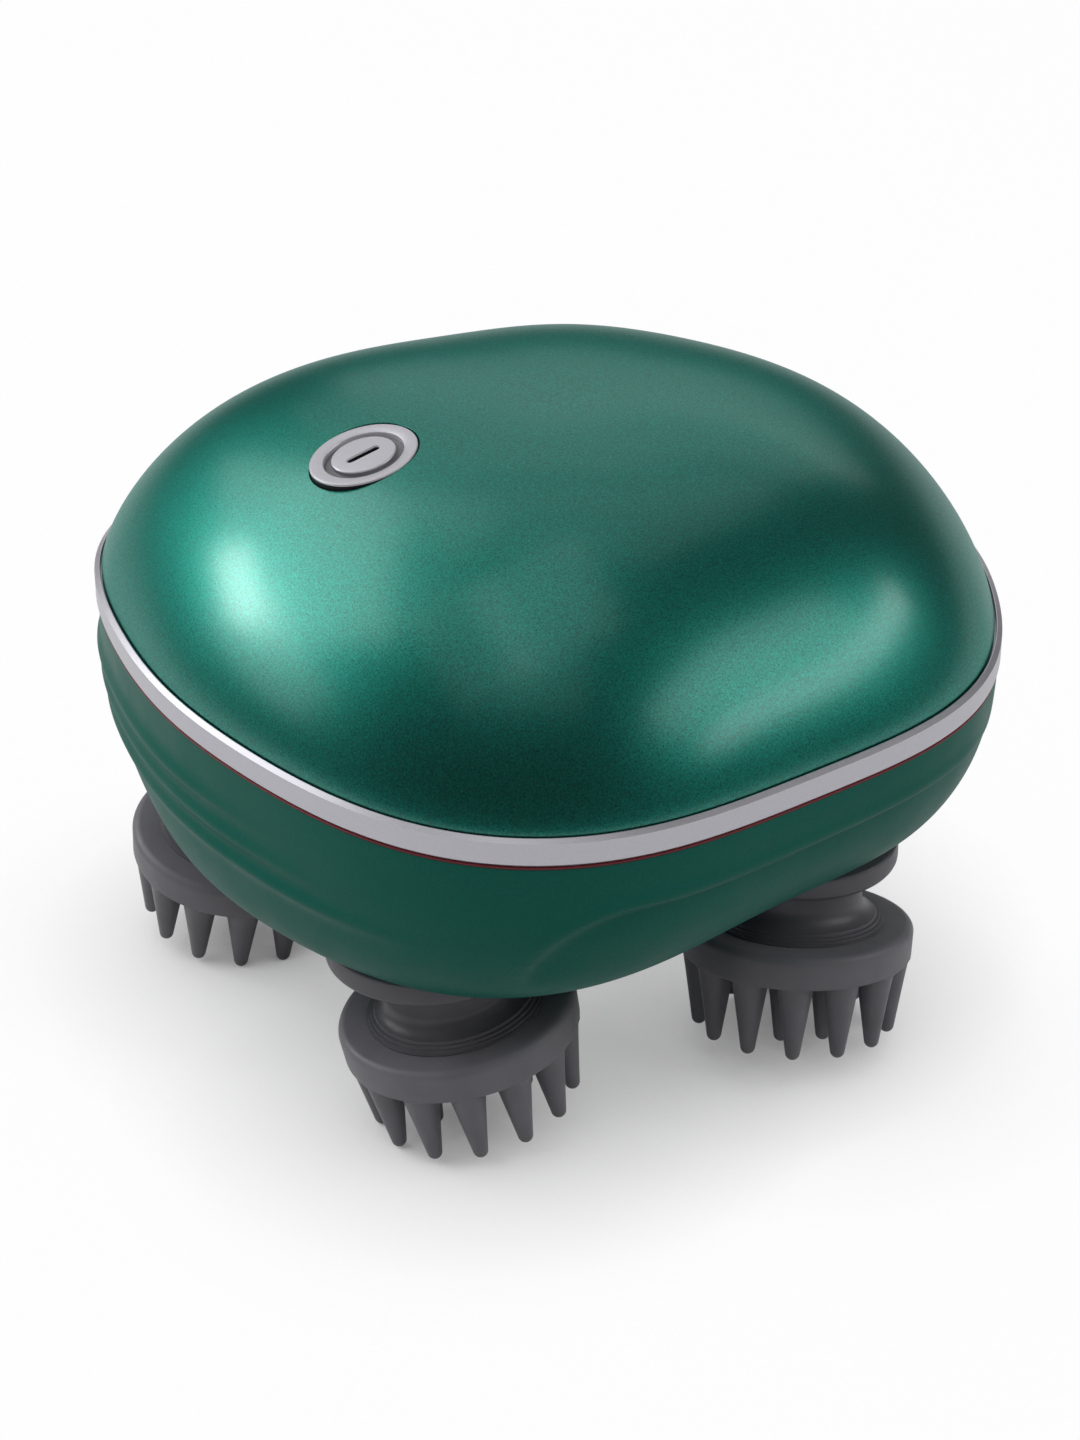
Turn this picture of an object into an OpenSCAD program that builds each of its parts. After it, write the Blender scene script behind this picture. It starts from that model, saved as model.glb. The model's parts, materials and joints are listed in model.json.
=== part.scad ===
// Cordless kneading massager with four geared silicone heads.
// Millimetres, +Z up, standing on its lowest teeth at z = 0.
// The button end points to -X and the body is mirror-symmetric about the XZ plane.

/* [Body outline] */
// Mean radius of the body seen from above
outline_radius = 58; // [52:1:64]
// Lengthening of the outline along X, as a share of its radius
lobe_two = -0.019; // [-0.04:0.001:0.02]
// Three-cornered swelling of the outline, as a share of its radius
lobe_three = 0.044; // [0.02:0.001:0.06]
// Four-cornered swelling of the outline, as a share of its radius
lobe_four = -0.026; // [-0.04:0.001:0]
// Six-cornered swelling of the outline, as a share of its radius
lobe_six = 0.015; // [0:0.001:0.02]
// Wall thickness of both shells
wall = 2.2; // [1.6:0.1:2.8]

/* [Upper shell] */
// Rise of the dome above the trim band
dome_height = 28.2; // [27:0.2:34]
// How far the dome edge sits inside the face of the trim band
dome_inset = 1; // [0.8:0.1:1.6]
// How square the dome is seen from above its shoulder
dome_fullness = 3; // [2.4:0.1:3.6]
// How upright the dome meets the trim band
dome_upright = 1.3; // [1.2:0.05:1.8]
// Shift of the top of the dome towards the far end
dome_shift = 1.7; // [0:0.1:4]

/* [Trim band] */
// Height of the visible trim band
band_height = 3.4; // [2.6:0.1:4.4]
// Depth of the band from its face inwards
band_depth = 4.4; // [4:0.1:6]
// Chamfer on the upper edge of the band
band_chamfer = 0.35; // [0.2:0.05:0.5]
// Dark gap between the band and the dome edge
shadow_gap = 0.25; // [0.15:0.05:0.4]
// Thickness of the silicone seal under the band
seal_height = 0.5; // [0.4:0.1:1]
// How far the seal and the lower shell sit inside the band's face
lower_inset = 0.3; // [0.1:0.1:0.6]

/* [Lower shell] */
// Depth of the lower shell below the trim band
shell_depth = 25.2; // [24.4:0.2:28]
// Mean pull-in of the underside from the outline
tuck_mean = 22; // [20:0.5:24]
// Extra pull-in at the far end against the button end
tuck_end = 4; // [2:0.5:5]
// Extra pull-in of the flanks against the ends
tuck_flank = 13.8; // [12:0.2:15]
// Extra pull-in between the heads
tuck_corner = 4; // [2:0.5:5]
// How square the lower edge of the shell is
belly_fullness = 3.23; // [3:0.05:3.6]
// How upright the lower shell leaves the band
belly_upright = 2.13; // [2:0.05:2.3]

/* [Heads] */
// Radius of each silicone head
head_radius = 15; // [14:0.5:16]
// Height of the rim of each head
rim_height = 4.4; // [4:0.1:5]
// Radius of the neck that carries each head
neck_radius = 8.2; // [7.6:0.1:8.8]
// Distance from the rotor face to the top of the head
neck_length = 7.6; // [7.2:0.1:9]
// Lean of each head against its rotor axis, in degrees
head_tilt = 10.5; // [8:0.5:12]
// Offset of each head's post from its rotor axis
post_offset = 2; // [1.5:0.1:2.8]
// Number of teeth in the outer ring
outer_teeth = 13; // [10:1:14]
// Number of teeth in the inner ring
inner_teeth = 7; // [5:1:8]
// Radius of the circle of outer teeth
outer_ring = 12.2; // [11.8:0.1:12.2]
// Radius of the circle of inner teeth
inner_ring = 6.3; // [5.8:0.1:6.6]
// Radius of a tooth at its root
tooth_root = 2.35; // [2.1:0.05:2.35]
// Radius of a tooth at its rounded tip
tooth_tip = 0.95; // [0.7:0.05:1.2]
// Length of a tooth below the pad
tooth_length = 10.3; // [8:0.1:11]

/* [Rotors] */
// Radius of the disc that carries each head
rotor_radius = 12.5; // [12:0.1:12.8]
// Thickness of the rotor disc
rotor_height = 3.2; // [3:0.1:3.6]
// How far a rotor disc stands out below the lower shell
rotor_drop = 2.1; // [1.8:0.1:2.6]
// Radius of the rotor's sealed hub
hub_radius = 6; // [5.4:0.1:6.6]
// Radius of the steel output shafts
shaft_radius = 2.5; // [2:0.1:2.8]

/* [Gear train] */
// Centre of the gear train along X
train_x = -6.2; // [-7:0.1:-5]
// Angle of the two output gears at the button end, from -X, in degrees
near_angle = 41.5; // [40:0.5:44]
// Angle of the two output gears at the far end, from +X, in degrees
far_angle = 46.9; // [45:0.1:49]
// Teeth of the central gear
central_teeth = 50; // [48:2:52]
// Teeth of each output gear
output_teeth = 24; // [22:1:24]
// How much less than the outline's radius the rotor axes stand from the central gear's axis
head_inset = 21; // [20:0.5:22]
// Module of the central gear and the output gears, which fill the distance between their axes
output_module = 2 * (outline_radius - head_inset) / (central_teeth + output_teeth);
// Module of the upper central wheel and its pinion
upper_module = 0.8; // [0.78:0.01:0.82]
// Teeth of the upper wheel on the central gear
upper_teeth = 60; // [58:1:60]
// Teeth of the small wheel on the cluster gear
cluster_pinion_teeth = 12; // [11:1:13]
// Module of the cluster gear's large wheel and the motor pinion
fast_module = 0.6; // [0.58:0.01:0.62]
// Teeth of the large wheel on the cluster gear
cluster_teeth = 50; // [46:1:50]
// Teeth of the motor pinion
pinion_teeth = 10; // [10:1:12]
// Width of the output gears
gear_width = 5; // [4:0.5:5.5]
// Thickness of the gearbox plates
plate = 2.5; // [2:0.1:3]
// Play between meshing teeth
backlash = 0.12; // [0.08:0.01:0.2]

/* [Motor and battery] */
// Radius of the motor can
motor_radius = 12; // [10:0.5:12.5]
// Height of the motor can
motor_height = 24; // [20:0.5:25]
// Radius of the motor shaft
motor_shaft_radius = 1; // [0.8:0.1:1.2]
// Radius of the battery cell
cell_radius = 9.1; // [7:0.1:9.2]
// Length of the battery cell
cell_length = 50; // [44:1:52]
// Distance of the battery cell from the centre plane
cell_offset = 27; // [25:0.5:28]

/* [Button] */
// Distance of the button from the middle of the outline
button_reach = 26; // [22:0.5:30]
// Lean of the button towards the button end, in degrees
button_tilt = 14.5; // [10:0.5:20]
// Outer radius of the button's bezel
bezel_radius = 6.8; // [6.4:0.1:7.6]
// Radius of the bezel's bore
bezel_bore = 5; // [4.6:0.1:5.2]
// Radius of the raised disc on the cap
cap_radius = 4.05; // [3.6:0.05:4.4]
// Length of the bar-shaped window in the cap
bar_length = 4.4; // [3:0.1:5]
// Width of the bar-shaped window in the cap
bar_width = 0.6; // [0.5:0.05:0.9]
// Travel of the button
button_travel = 0.6; // [0.3:0.1:0.8]

/* [Fasteners and charging] */
// Radius of the screw columns that join the shells
column_radius = 3.8; // [3.6:0.1:4.2]
// Radius of the shank of the case screws
case_screw_radius = 1.3; // [1:0.1:1.5]
// Radius of the shank of the small screws
small_screw_radius = 1; // [0.8:0.1:1.1]
// Radius of the round charging socket
socket_radius = 5; // [4:0.1:5.5]
// Radius of each charging contact
contact_radius = 1.1; // [0.8:0.1:1.3]
// Running clearance between pieces that turn or slide
running_gap = 0.06; // [0.03:0.01:0.09]

/* [Hidden] */
$fn = 64;
around = 96;
dome_rings = 14;
belly_rings = 15;
inner_around = 64;
inner_rings = 9;

// Colours as the object shows them
shell_green = [0.05, 0.36, 0.29];
belly_green = [0.12, 0.33, 0.28];
satin_silver = [0.70, 0.69, 0.73];
seal_red = [0.38, 0.03, 0.06];
head_grey = [0.27, 0.27, 0.29];
plastic_black = [0.10, 0.10, 0.11];
gear_white = [0.90, 0.89, 0.85];
steel = [0.72, 0.73, 0.75];
bronze = [0.72, 0.50, 0.28];
board_green = [0.05, 0.30, 0.15];
gold = [0.86, 0.68, 0.28];
cell_blue = [0.16, 0.30, 0.55];

// Outline of the body seen from above, as a radius for each direction
function outline_r(a) = outline_radius * (1 + lobe_two * cos(2 * a) + lobe_three * cos(3 * a)
    + lobe_four * cos(4 * a) + lobe_six * cos(6 * a));
// The outline's own centre lies here, so that the body's box is centred on the origin
outline_x = (outline_r(180) - outline_r(0)) / 2;
function outline_point(a, inset) = [
    outline_x + (outline_r(a) - inset) * cos(a),
    (outline_r(a) - inset) * sin(a)
];
module outline_face(inset) {
    polygon([for (i = [0 : around - 1]) outline_point(i * 360 / around, inset)]);
}

// Heights, from the lowest tooth upwards
pad_plate = 1.9;
pad_bottom = neck_length + rim_height;
tooth_end = pad_bottom + tooth_length;
rotor_z = (tooth_end - tooth_tip) * cos(head_tilt) + outer_ring * sin(head_tilt) + tooth_tip;
shell_z = rotor_z + rotor_drop;
band_z = shell_z + shell_depth;
band_top = band_z + band_height;
lower_top = band_z - seal_height;
dome_drop = 0.9;
dome_seat = band_top - dome_drop;

// Gear train, from the floor of the lower shell upwards
rotor_gap = 0.4;
recess_depth = rotor_height - rotor_drop + rotor_gap;
recess_radius = rotor_radius + rotor_gap;
seat_roof = shell_z + recess_depth + wall;
base_gap = 1.4;
base_z = seat_roof + base_gap;
base_top = base_z + plate;
bush_length = 3.5;
gear_gap = 1.7;
gear_z = base_top + gear_gap;
gear_top = gear_z + gear_width;
web_height = 1;
upper_z = gear_top + web_height;
upper_width = 3.5;
tier_gap = 0.9;
fast_z = upper_z + upper_width + tier_gap;
fast_width = 3;
cover_gap = 1.1;
cover_z = fast_z + fast_width + cover_gap;
cover_top = cover_z + plate;

output_distance = outline_radius - head_inset;
cluster_distance = upper_module * (upper_teeth + cluster_pinion_teeth) / 2;
motor_distance = fast_module * (cluster_teeth + pinion_teeth) / 2;
cluster_x = train_x + cluster_distance;
motor_x = cluster_x - motor_distance;

// Directions of the four output gears seen from the central gear
output_angles = [180 - near_angle, 180 + near_angle, -far_angle, far_angle];
// Where each head leans at rest, in degrees from +X
head_phases = [88, -20, -126, 35];
// How far each pad is turned on its hub, in degrees
pad_turns = [4, 0, -12, 0];
function output_x(i) = train_x + output_distance * cos(output_angles[i]);
function output_y(i) = output_distance * sin(output_angles[i]);

module at_place(p, z) {
    translate([p[0], p[1], z]) children();
}
module at_output(i, z) {
    at_place([output_x(i), output_y(i)], z) children();
}

// Turn that brings gear b into mesh with gear a, where a has a tooth at a_phase
// and b lies in direction dir from a
function mesh_turn(teeth_a, a_phase, teeth_b, dir) =
    dir + 180 + (dir - a_phase) * teeth_a / teeth_b - 180 / teeth_b;

// Upper dome: height above the band for a share of the way out from the top
function dome_z(s) = dome_height * pow(1 - pow(s, dome_fullness), 1 / dome_upright);
// Shares used for the rings, crowded towards the edge
function ring_share(t, fullness) = pow(cos(t), 2 / fullness);
// Directions of a ring's points: those of an inside face lie between those of an outside face
function ring_angle(i, n, thick) = (i + (thick > 0 ? 0.5 : 0)) * 360 / n;
function dome_ring(t, thick, n) = let (
        s = ring_share(t, dome_fullness),
        rise = dome_height - thick,
        z = band_top + rise * pow(sin(t), 2 / dome_upright)
    ) [for (i = [0 : n - 1]) let (
        a = ring_angle(i, n, thick),
        r = s * (outline_r(a) - dome_inset - thick)
    ) [
        outline_x + r * cos(a) + dome_shift * (1 - s),
        r * sin(a),
        z
    ]];

// Lower shell: pull-in of the underside in each direction
function tuck(a) = tuck_mean + tuck_end * cos(a) - tuck_flank * cos(2 * a)
    - tuck_corner * cos(3 * a);
function belly_ring(t, thick, n) = let (
        share = 1 - ring_share(t, belly_fullness),
        z = lower_top - (lower_top - shell_z - thick) * pow(sin(t), 2 / belly_upright)
    ) [for (i = [0 : n - 1]) let (
        a = ring_angle(i, n, thick),
        r = outline_r(a) - lower_inset - thick - tuck(a) * share
    ) [
        outline_x + r * cos(a),
        r * sin(a),
        z
    ]];

// How far the shell is drawn in at a height, and its outer face's height at a distance from the middle
function belly_share(z, thick) =
    1 - pow(1 - pow((lower_top - z) / (lower_top - shell_z - thick), belly_upright), 1 / belly_fullness);
function belly_z(a, distance) =
    let (share = min(1, (outline_r(a) - lower_inset - distance) / tuck(a)))
    lower_top - (lower_top - shell_z) * pow(1 - pow(1 - share, belly_fullness), 1 / belly_upright);

// Solid through a stack of rings with the same number of points
// Each end is closed by a fan from its middle
function ring_middle(ring) = [outline_x, 0, ring[0][2]];
module loft(rings) {
    n = len(rings[0]);
    m = len(rings);
    middles = [ring_middle(rings[0]), ring_middle(rings[m - 1])];
    points = concat([for (ring = rings) each ring], middles);
    sides = [for (j = [0 : m - 2], i = [0 : n - 1]) let (k = (i + 1) % n) each [
        [j * n + i, (j + 1) * n + k, j * n + k],
        [j * n + i, (j + 1) * n + i, (j + 1) * n + k]
    ]];
    bottom = [for (i = [0 : n - 1]) [m * n, i, (i + 1) % n]];
    top = [for (i = [0 : n - 1]) [m * n + 1, (m - 1) * n + (i + 1) % n, (m - 1) * n + i]];
    polyhedron(points = points, faces = concat(sides, bottom, top), convexity = 6);
}

// Straight edge of the dome that drops into the band
module dome_solid(thick, n, rings) {
    edge = dome_ring(0, thick, n);
    skirt = [for (p = edge) [p[0], p[1], dome_seat - (thick > 0 ? 1 : 0)]];
    last = 89;
    loft(concat([skirt], [for (j = [0 : rings - 1]) dome_ring(j * last / (rings - 1), thick, n)]));
}
// The inside runs straight up past the rim, so that it is open there
module belly_solid(thick, n, rings) {
    over = thick > 0 ? 1 : 0;
    rim = [for (p = belly_ring(0, thick, n)) [p[0], p[1], lower_top + over]];
    last = 88;
    loft(concat([for (j = [rings - 1 : -1 : 1]) belly_ring(j * last / (rings - 1), thick, n)], [rim]));
}

// Height of the dome's outer face over a point on the centre plane
button_share = (button_reach + dome_shift) / (outline_r(180) - dome_inset + dome_shift);
button_x = outline_x - button_reach;
button_z = band_top + dome_z(button_share);
module button_frame() {
    translate([button_x, 0, button_z]) rotate([0, -button_tilt, 0]) children();
}

// Button heights along its own axis, from the dome's outer face
bezel_proud = 0.45;
bezel_seat = -2.4;
gasket_height = 0.4;
bezel_chamfer = 0.2;
bezel_base = bezel_seat + gasket_height;
bezel_gap = 0.2;
ledge_bore = bezel_bore + 0.6;
cap_top = 0.25;
cap_chamfer = 0.15;
groove_floor = -0.65;
flange_gap = 0.1;
flange_height = 0.8;
flange_width = 0.4;
cap_flange = bezel_base - flange_gap;
cap_base = cap_flange - flange_height;
stem_radius = 1.6;
stem_end = -5.2;
plunger_gap = 0.05;
plunger_depth = 1.3;
plunger_top = stem_end - plunger_gap;
switch_gap = 0.15;
switch_top = plunger_top - button_travel - switch_gap;
switch_height = 2.5;
switch_width = 6;
window_depth = 0.6;
light_bar_height = 0.75;
button_board_top = switch_top - switch_height;
button_board_height = 1.2;
boss_radius = bezel_radius + wall;
boss_base = -4.5;
post_reach = ledge_bore + 1.9;
post_radius = 1.7;
post_screw_depth = 3.5;

// Screw columns between the shells, and pillars of the gearbox: direction and distance inside the outline
column_spots = [[180, 9.2], [95, 14.3], [-95, 14.3], [28, 11.4], [-28, 11.4]];
column_places = [for (s = column_spots) outline_point(s[0], s[1])];
column_top = band_z + 1;
column_ledge = band_z - 6;
case_screw_length = 14;
plug_margin = 1.3;
plug_radius = case_screw_radius + plug_margin;
plug_length = 3;
// A plug's foot lies just inside the shell's face
function plug_z(s) = belly_z(s[0], outline_r(s[0]) - s[1] + plug_radius) + 0.1;
pillar_spots = [[180, 17.8], [96, 24.6], [-96, 24.6], [13, 13.5], [-13, 13.5]];
pillar_places = [for (s = pillar_spots) outline_point(s[0], s[1])];
pillar_radius = 2.8;
boss_wall = 1.6;
seal_width = 2;

socket_below = 10;
socket_inset = 1.1;
socket_z = band_z - socket_below;
socket_face = outline_x + outline_r(0) - lower_inset - socket_inset;
socket_depth = 5;
socket_recess = 1.5;
socket_lip = 1.2;
contact_pitch = 4.6;
contact_tail = 2.5;

// Upper shell with the button's seat and four bosses for the case screws
module top_shell() {
    color(shell_green) difference() {
        dome_solid(0, around, dome_rings);
        difference() {
            dome_solid(wall, inner_around, inner_rings);
            button_frame() translate([0, 0, boss_base]) cylinder(r = boss_radius, h = 12);
            button_frame() for (side = [-1, 1])
                translate([0, side * post_reach, button_board_top]) cylinder(r = post_radius, h = 12);
            for (p = column_places)
                at_place(p, column_top) cylinder(r = column_radius, h = dome_height);
        }
        button_frame() translate([0, 0, bezel_seat]) cylinder(r = bezel_radius + bezel_gap, h = 8);
        button_frame() translate([0, 0, boss_base - 1]) cylinder(r = ledge_bore, h = 8);
        button_frame() for (side = [-1, 1])
            translate([0, side * post_reach, button_board_top - 1])
                cylinder(r = small_screw_radius, h = post_screw_depth + 1);
        for (p = column_places)
            at_place(p, column_top - 1) cylinder(r = case_screw_radius, h = 9);
    }
}

// Silver band between the shells, with a step that the dome's edge drops into
module trim_band() {
    lip = dome_inset - shadow_gap;
    color(satin_silver) difference() {
        union() {
            translate([0, 0, band_z]) linear_extrude(band_height - band_chamfer) outline_face(0);
            loft([
                for (e = [[0, band_top - band_chamfer], [band_chamfer, band_top]])
                    [for (i = [0 : around - 1])
                        let (p = outline_point(i * 360 / around, e[0])) [p[0], p[1], e[1]]]
            ]);
        }
        translate([0, 0, band_z - 1]) linear_extrude(band_height + 2) outline_face(band_depth);
        translate([0, 0, dome_seat]) linear_extrude(band_height) outline_face(lip);
    }
}

// Silicone seal between the band and the lower shell
module parting_seal() {
    color(seal_red) translate([0, 0, lower_top]) linear_extrude(seal_height) difference() {
        outline_face(lower_inset);
        outline_face(lower_inset + wall);
    }
}

// Lower shell with rotor recesses, seal seats, screw columns and the socket's hole
module lower_shell() {
    color(belly_green) difference() {
        belly_solid(0, around, belly_rings);
        difference() {
            belly_solid(wall, inner_around, inner_rings);
            for (i = [0 : 3])
                at_output(i, shell_z) cylinder(r = recess_radius + boss_wall, h = seat_roof - shell_z);
            for (p = column_places)
                at_place(p, shell_z) cylinder(r = column_radius, h = column_top - shell_z);
            for (p = pillar_places)
                at_place(p, shell_z) cylinder(r = pillar_radius, h = base_z - shell_z);
            translate([socket_face - socket_depth - 1, 0, socket_z]) rotate([0, 90, 0])
                cylinder(r = socket_radius + boss_wall, h = 12);
        }
        for (i = [0 : 3]) at_output(i, 0) {
            translate([0, 0, shell_z - 4]) cylinder(r = recess_radius, h = recess_depth + 4);
            translate([0, 0, shell_z]) cylinder(r = hub_radius + seal_width, h = shell_depth);
        }
        for (p = column_places) at_place(p, 0) {
            translate([0, 0, shell_z - 1]) cylinder(r = plug_radius, h = column_ledge - shell_z + 1);
            translate([0, 0, shell_z]) cylinder(r = case_screw_radius, h = shell_depth + 2);
        }
        for (p = pillar_places)
            at_place(p, shell_z + 0.9) cylinder(r = case_screw_radius, h = shell_depth);
        translate([socket_face - socket_depth, 0, socket_z]) rotate([0, 90, 0])
            cylinder(r = socket_radius, h = 12);
        translate([socket_face - socket_depth - 3, 0, socket_z]) rotate([0, 90, 0])
            cylinder(r = socket_radius - socket_lip, h = 4);
    }
}

// Bezel ring round the cap
module button_bezel() {
    color(satin_silver) button_frame() rotate_extrude() polygon([
        [bezel_bore, bezel_base],
        [bezel_radius, bezel_base],
        [bezel_radius, bezel_proud - bezel_chamfer],
        [bezel_radius - bezel_chamfer, bezel_proud],
        [bezel_bore + 0.15, bezel_proud - 0.05],
        [bezel_bore, bezel_proud - bezel_chamfer]
    ]);
}
module button_gasket() {
    color(plastic_black) button_frame() translate([0, 0, bezel_seat]) difference() {
        cylinder(r = bezel_radius, h = gasket_height);
        translate([0, 0, -1]) cylinder(r = ledge_bore, h = gasket_height + 2);
    }
}
module bar_shape(length, width) {
    hull() for (side = [-1, 1]) translate([side * (length - width) / 2, 0]) circle(d = width, $fn = 24);
}
// Cap with a raised disc, a groove round it and a bar-shaped window
module button_cap() {
    color(satin_silver) button_frame() difference() {
        rotate_extrude() polygon([
            [0, stem_end],
            [stem_radius, stem_end],
            [stem_radius, cap_base],
            [bezel_bore + flange_width, cap_base],
            [bezel_bore + flange_width, cap_flange],
            [bezel_bore - running_gap, cap_flange],
            [bezel_bore - running_gap, groove_floor],
            [cap_radius, groove_floor],
            [cap_radius, cap_top - cap_chamfer],
            [cap_radius - cap_chamfer, cap_top],
            [0, cap_top]
        ]);
        translate([0, 0, groove_floor - window_depth]) linear_extrude(3) bar_shape(bar_length, bar_width);
    }
}
module button_light_bar() {
    color(plastic_black) button_frame() translate([0, 0, groove_floor - window_depth])
        linear_extrude(light_bar_height) bar_shape(bar_length, bar_width);
}
module switch_plunger() {
    color(plastic_black) button_frame() translate([0, 0, switch_top - plunger_depth])
        cylinder(r = stem_radius, h = plunger_top - switch_top + plunger_depth);
}
module tact_switch() {
    color(steel) button_frame() difference() {
        translate([-switch_width / 2, -switch_width / 2, button_board_top])
            cube([switch_width, switch_width, switch_height]);
        translate([0, 0, switch_top - plunger_depth - button_travel - 0.1])
            cylinder(r = stem_radius + running_gap, h = 3);
    }
}
module indicator_led() {
    color(gear_white) button_frame() translate([switch_width / 2 + 1.4, 0, button_board_top]) {
        translate([-0.8, -1.25, 0]) cube([1.6, 2.5, 0.8]);
        translate([0, 0, 0.8]) cylinder(r = 0.6, h = 0.5);
    }
}
module button_board() {
    board_length = 2 * (post_reach + 2.4);
    color(board_green) button_frame() difference() {
        translate([-4.5, -board_length / 2, button_board_top - button_board_height])
            cube([11, board_length, button_board_height]);
        for (side = [-1, 1])
            translate([0, side * post_reach, button_board_top - 2]) cylinder(r = small_screw_radius, h = 3);
    }
}

// Main board on the cover, on the far side of the motor from the battery
board_length = 46;
board_width = 18;
board_height = 1.6;
board_z = cover_top + 4;
board_x = train_x + 3;
board_y = -cell_offset;
function board_corner(sx, sy) = [
    board_x + sx * (board_length / 2 - 3),
    board_y + sy * (board_width / 2 - 3)
];
module control_board() {
    color(board_green) difference() {
        translate([board_x - board_length / 2, board_y - board_width / 2, board_z])
            cube([board_length, board_width, board_height]);
        for (sx = [-1, 1], sy = [-1, 1]) at_place(board_corner(sx, sy), board_z - 1)
            cylinder(r = small_screw_radius, h = 4);
    }
}
module board_parts() {
    top = board_z + board_height;
    color(plastic_black) translate([board_x, board_y, top]) {
        translate([-9, -3, 0]) cube([7, 6, 1.6]);
        translate([3, -4, 0]) cube([5, 4, 1.4]);
        translate([4, 3, 0]) cube([10, 4, 5.5]);
        translate([-14, 3.5, 0]) cylinder(r = 2.5, h = 6);
        translate([12.5, -3, 0]) cylinder(r = 2.5, h = 6);
    }
}
module screw(shank_r, head_r, head_h, length) {
    cylinder(r = head_r, h = head_h);
    translate([0, 0, -length]) cylinder(r = shank_r, h = length);
}
// Small screws of both boards and of the battery tray
module board_screws() {
    color(steel) {
        for (sx = [-1, 1], sy = [-1, 1])
            at_place(board_corner(sx, sy), board_z + board_height)
                screw(small_screw_radius, 1.9, 1.2, board_height + 3);
        button_frame() for (side = [-1, 1])
            translate([0, side * post_reach, button_board_top - button_board_height]) rotate([180, 0, 0])
                screw(small_screw_radius, 1.7, 1, button_board_height + 3);
        for (side = [-1, 1])
            at_place(ear_place(side), cover_top + tray_ear)
                screw(small_screw_radius, 1.9, 1.2, tray_ear + plate - 0.6);
    }
}

tray_floor = 1.6;
tray_ear = 1;
ear_radius = 3.2;
cell_lift = 0.8;
tray_gap = 0.1;
tray_length = 34;
tray_x = train_x + 3;
cell_z = cover_top + tray_floor + cell_lift + cell_radius;
function ear_place(side) = [tray_x + side * (tray_length / 2 + ear_radius), cell_offset];
module battery_cell() {
    color(cell_blue) translate([tray_x - cell_length / 2, cell_offset, cell_z]) rotate([0, 90, 0]) {
        cylinder(r = cell_radius, h = cell_length);
        translate([0, 0, cell_length]) cylinder(r = 3, h = 1.2);
    }
}
// Cradle that holds the cell on the gearbox cover
module battery_tray() {
    half_width = cell_radius + 1.2;
    color(plastic_black) difference() {
        union() {
            translate([tray_x - tray_length / 2, cell_offset - half_width, cover_top])
                cube([tray_length, 2 * half_width, tray_floor + cell_lift + cell_radius * 0.7]);
            for (side = [-1, 1]) at_place(ear_place(side), cover_top)
                cylinder(r = ear_radius, h = tray_ear);
            translate([tray_x - tray_length / 2 - ear_radius, cell_offset - ear_radius, cover_top])
                cube([tray_length + 2 * ear_radius, 2 * ear_radius, tray_ear]);
        }
        translate([tray_x - cell_length, cell_offset, cell_z]) rotate([0, 90, 0])
            cylinder(r = cell_radius + tray_gap, h = 2 * cell_length);
        for (side = [-1, 1]) at_place(ear_place(side), cover_top - 1)
            cylinder(r = small_screw_radius, h = 5);
        for (side = [-1, 1]) translate([tray_x + side * 7, cell_offset, cell_z])
            cube([7, 4 * cell_radius, 2 * cell_radius - 2], center = true);
    }
}

// Round socket with two contacts at the far end
module charge_socket() {
    color(plastic_black) translate([socket_face - socket_depth, 0, socket_z]) rotate([0, 90, 0])
    difference() {
        cylinder(r = socket_radius, h = socket_depth);
        translate([0, 0, socket_depth - socket_recess])
            cylinder(r = socket_radius - socket_lip, h = socket_recess + 1);
        for (side = [-1, 1]) translate([0, side * contact_pitch / 2, -1])
            cylinder(r = contact_radius, h = socket_depth + 2);
    }
}
module charge_contacts() {
    color(gold) for (side = [-1, 1])
        translate([socket_face - socket_depth - contact_tail, side * contact_pitch / 2, socket_z])
            rotate([0, 90, 0]) cylinder(r = contact_radius, h = contact_tail + socket_depth - socket_recess);
}

// Involute gear tooth outline, one tooth after another
function involute_angle(base_r, r) = let (t = sqrt(max(0, pow(r / base_r, 2) - 1))) t * 180 / PI - atan(t);
function gear_points(teeth, module_size) = let (
        pitch_r = teeth * module_size / 2,
        base_r = pitch_r * cos(20),
        tip_r = pitch_r + module_size * 0.95,
        root_r = pitch_r - module_size * 1.25,
        low_r = max(base_r, root_r + 0.02),
        half = 90 / teeth - backlash * 90 / (PI * pitch_r) + involute_angle(base_r, pitch_r),
        steps = 3
    ) [for (k = [0 : teeth - 1]) let (c = k * 360 / teeth) each concat(
        [[root_r, c - 180 / teeth + 0.02], [root_r, c - half]],
        [for (j = [0 : steps]) let (r = low_r + (tip_r - low_r) * j / steps)
            [r, c - half + involute_angle(base_r, r)]],
        [for (j = [steps : -1 : 0]) let (r = low_r + (tip_r - low_r) * j / steps)
            [r, c + half - involute_angle(base_r, r)]],
        [[root_r, c + half]]
    )];
module gear_face(teeth, module_size) {
    polygon([for (p = gear_points(teeth, module_size)) [p[0] * cos(p[1]), p[0] * sin(p[1])]]);
}

motor_register = 3;
motor_screw_reach = 6.5;
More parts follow.
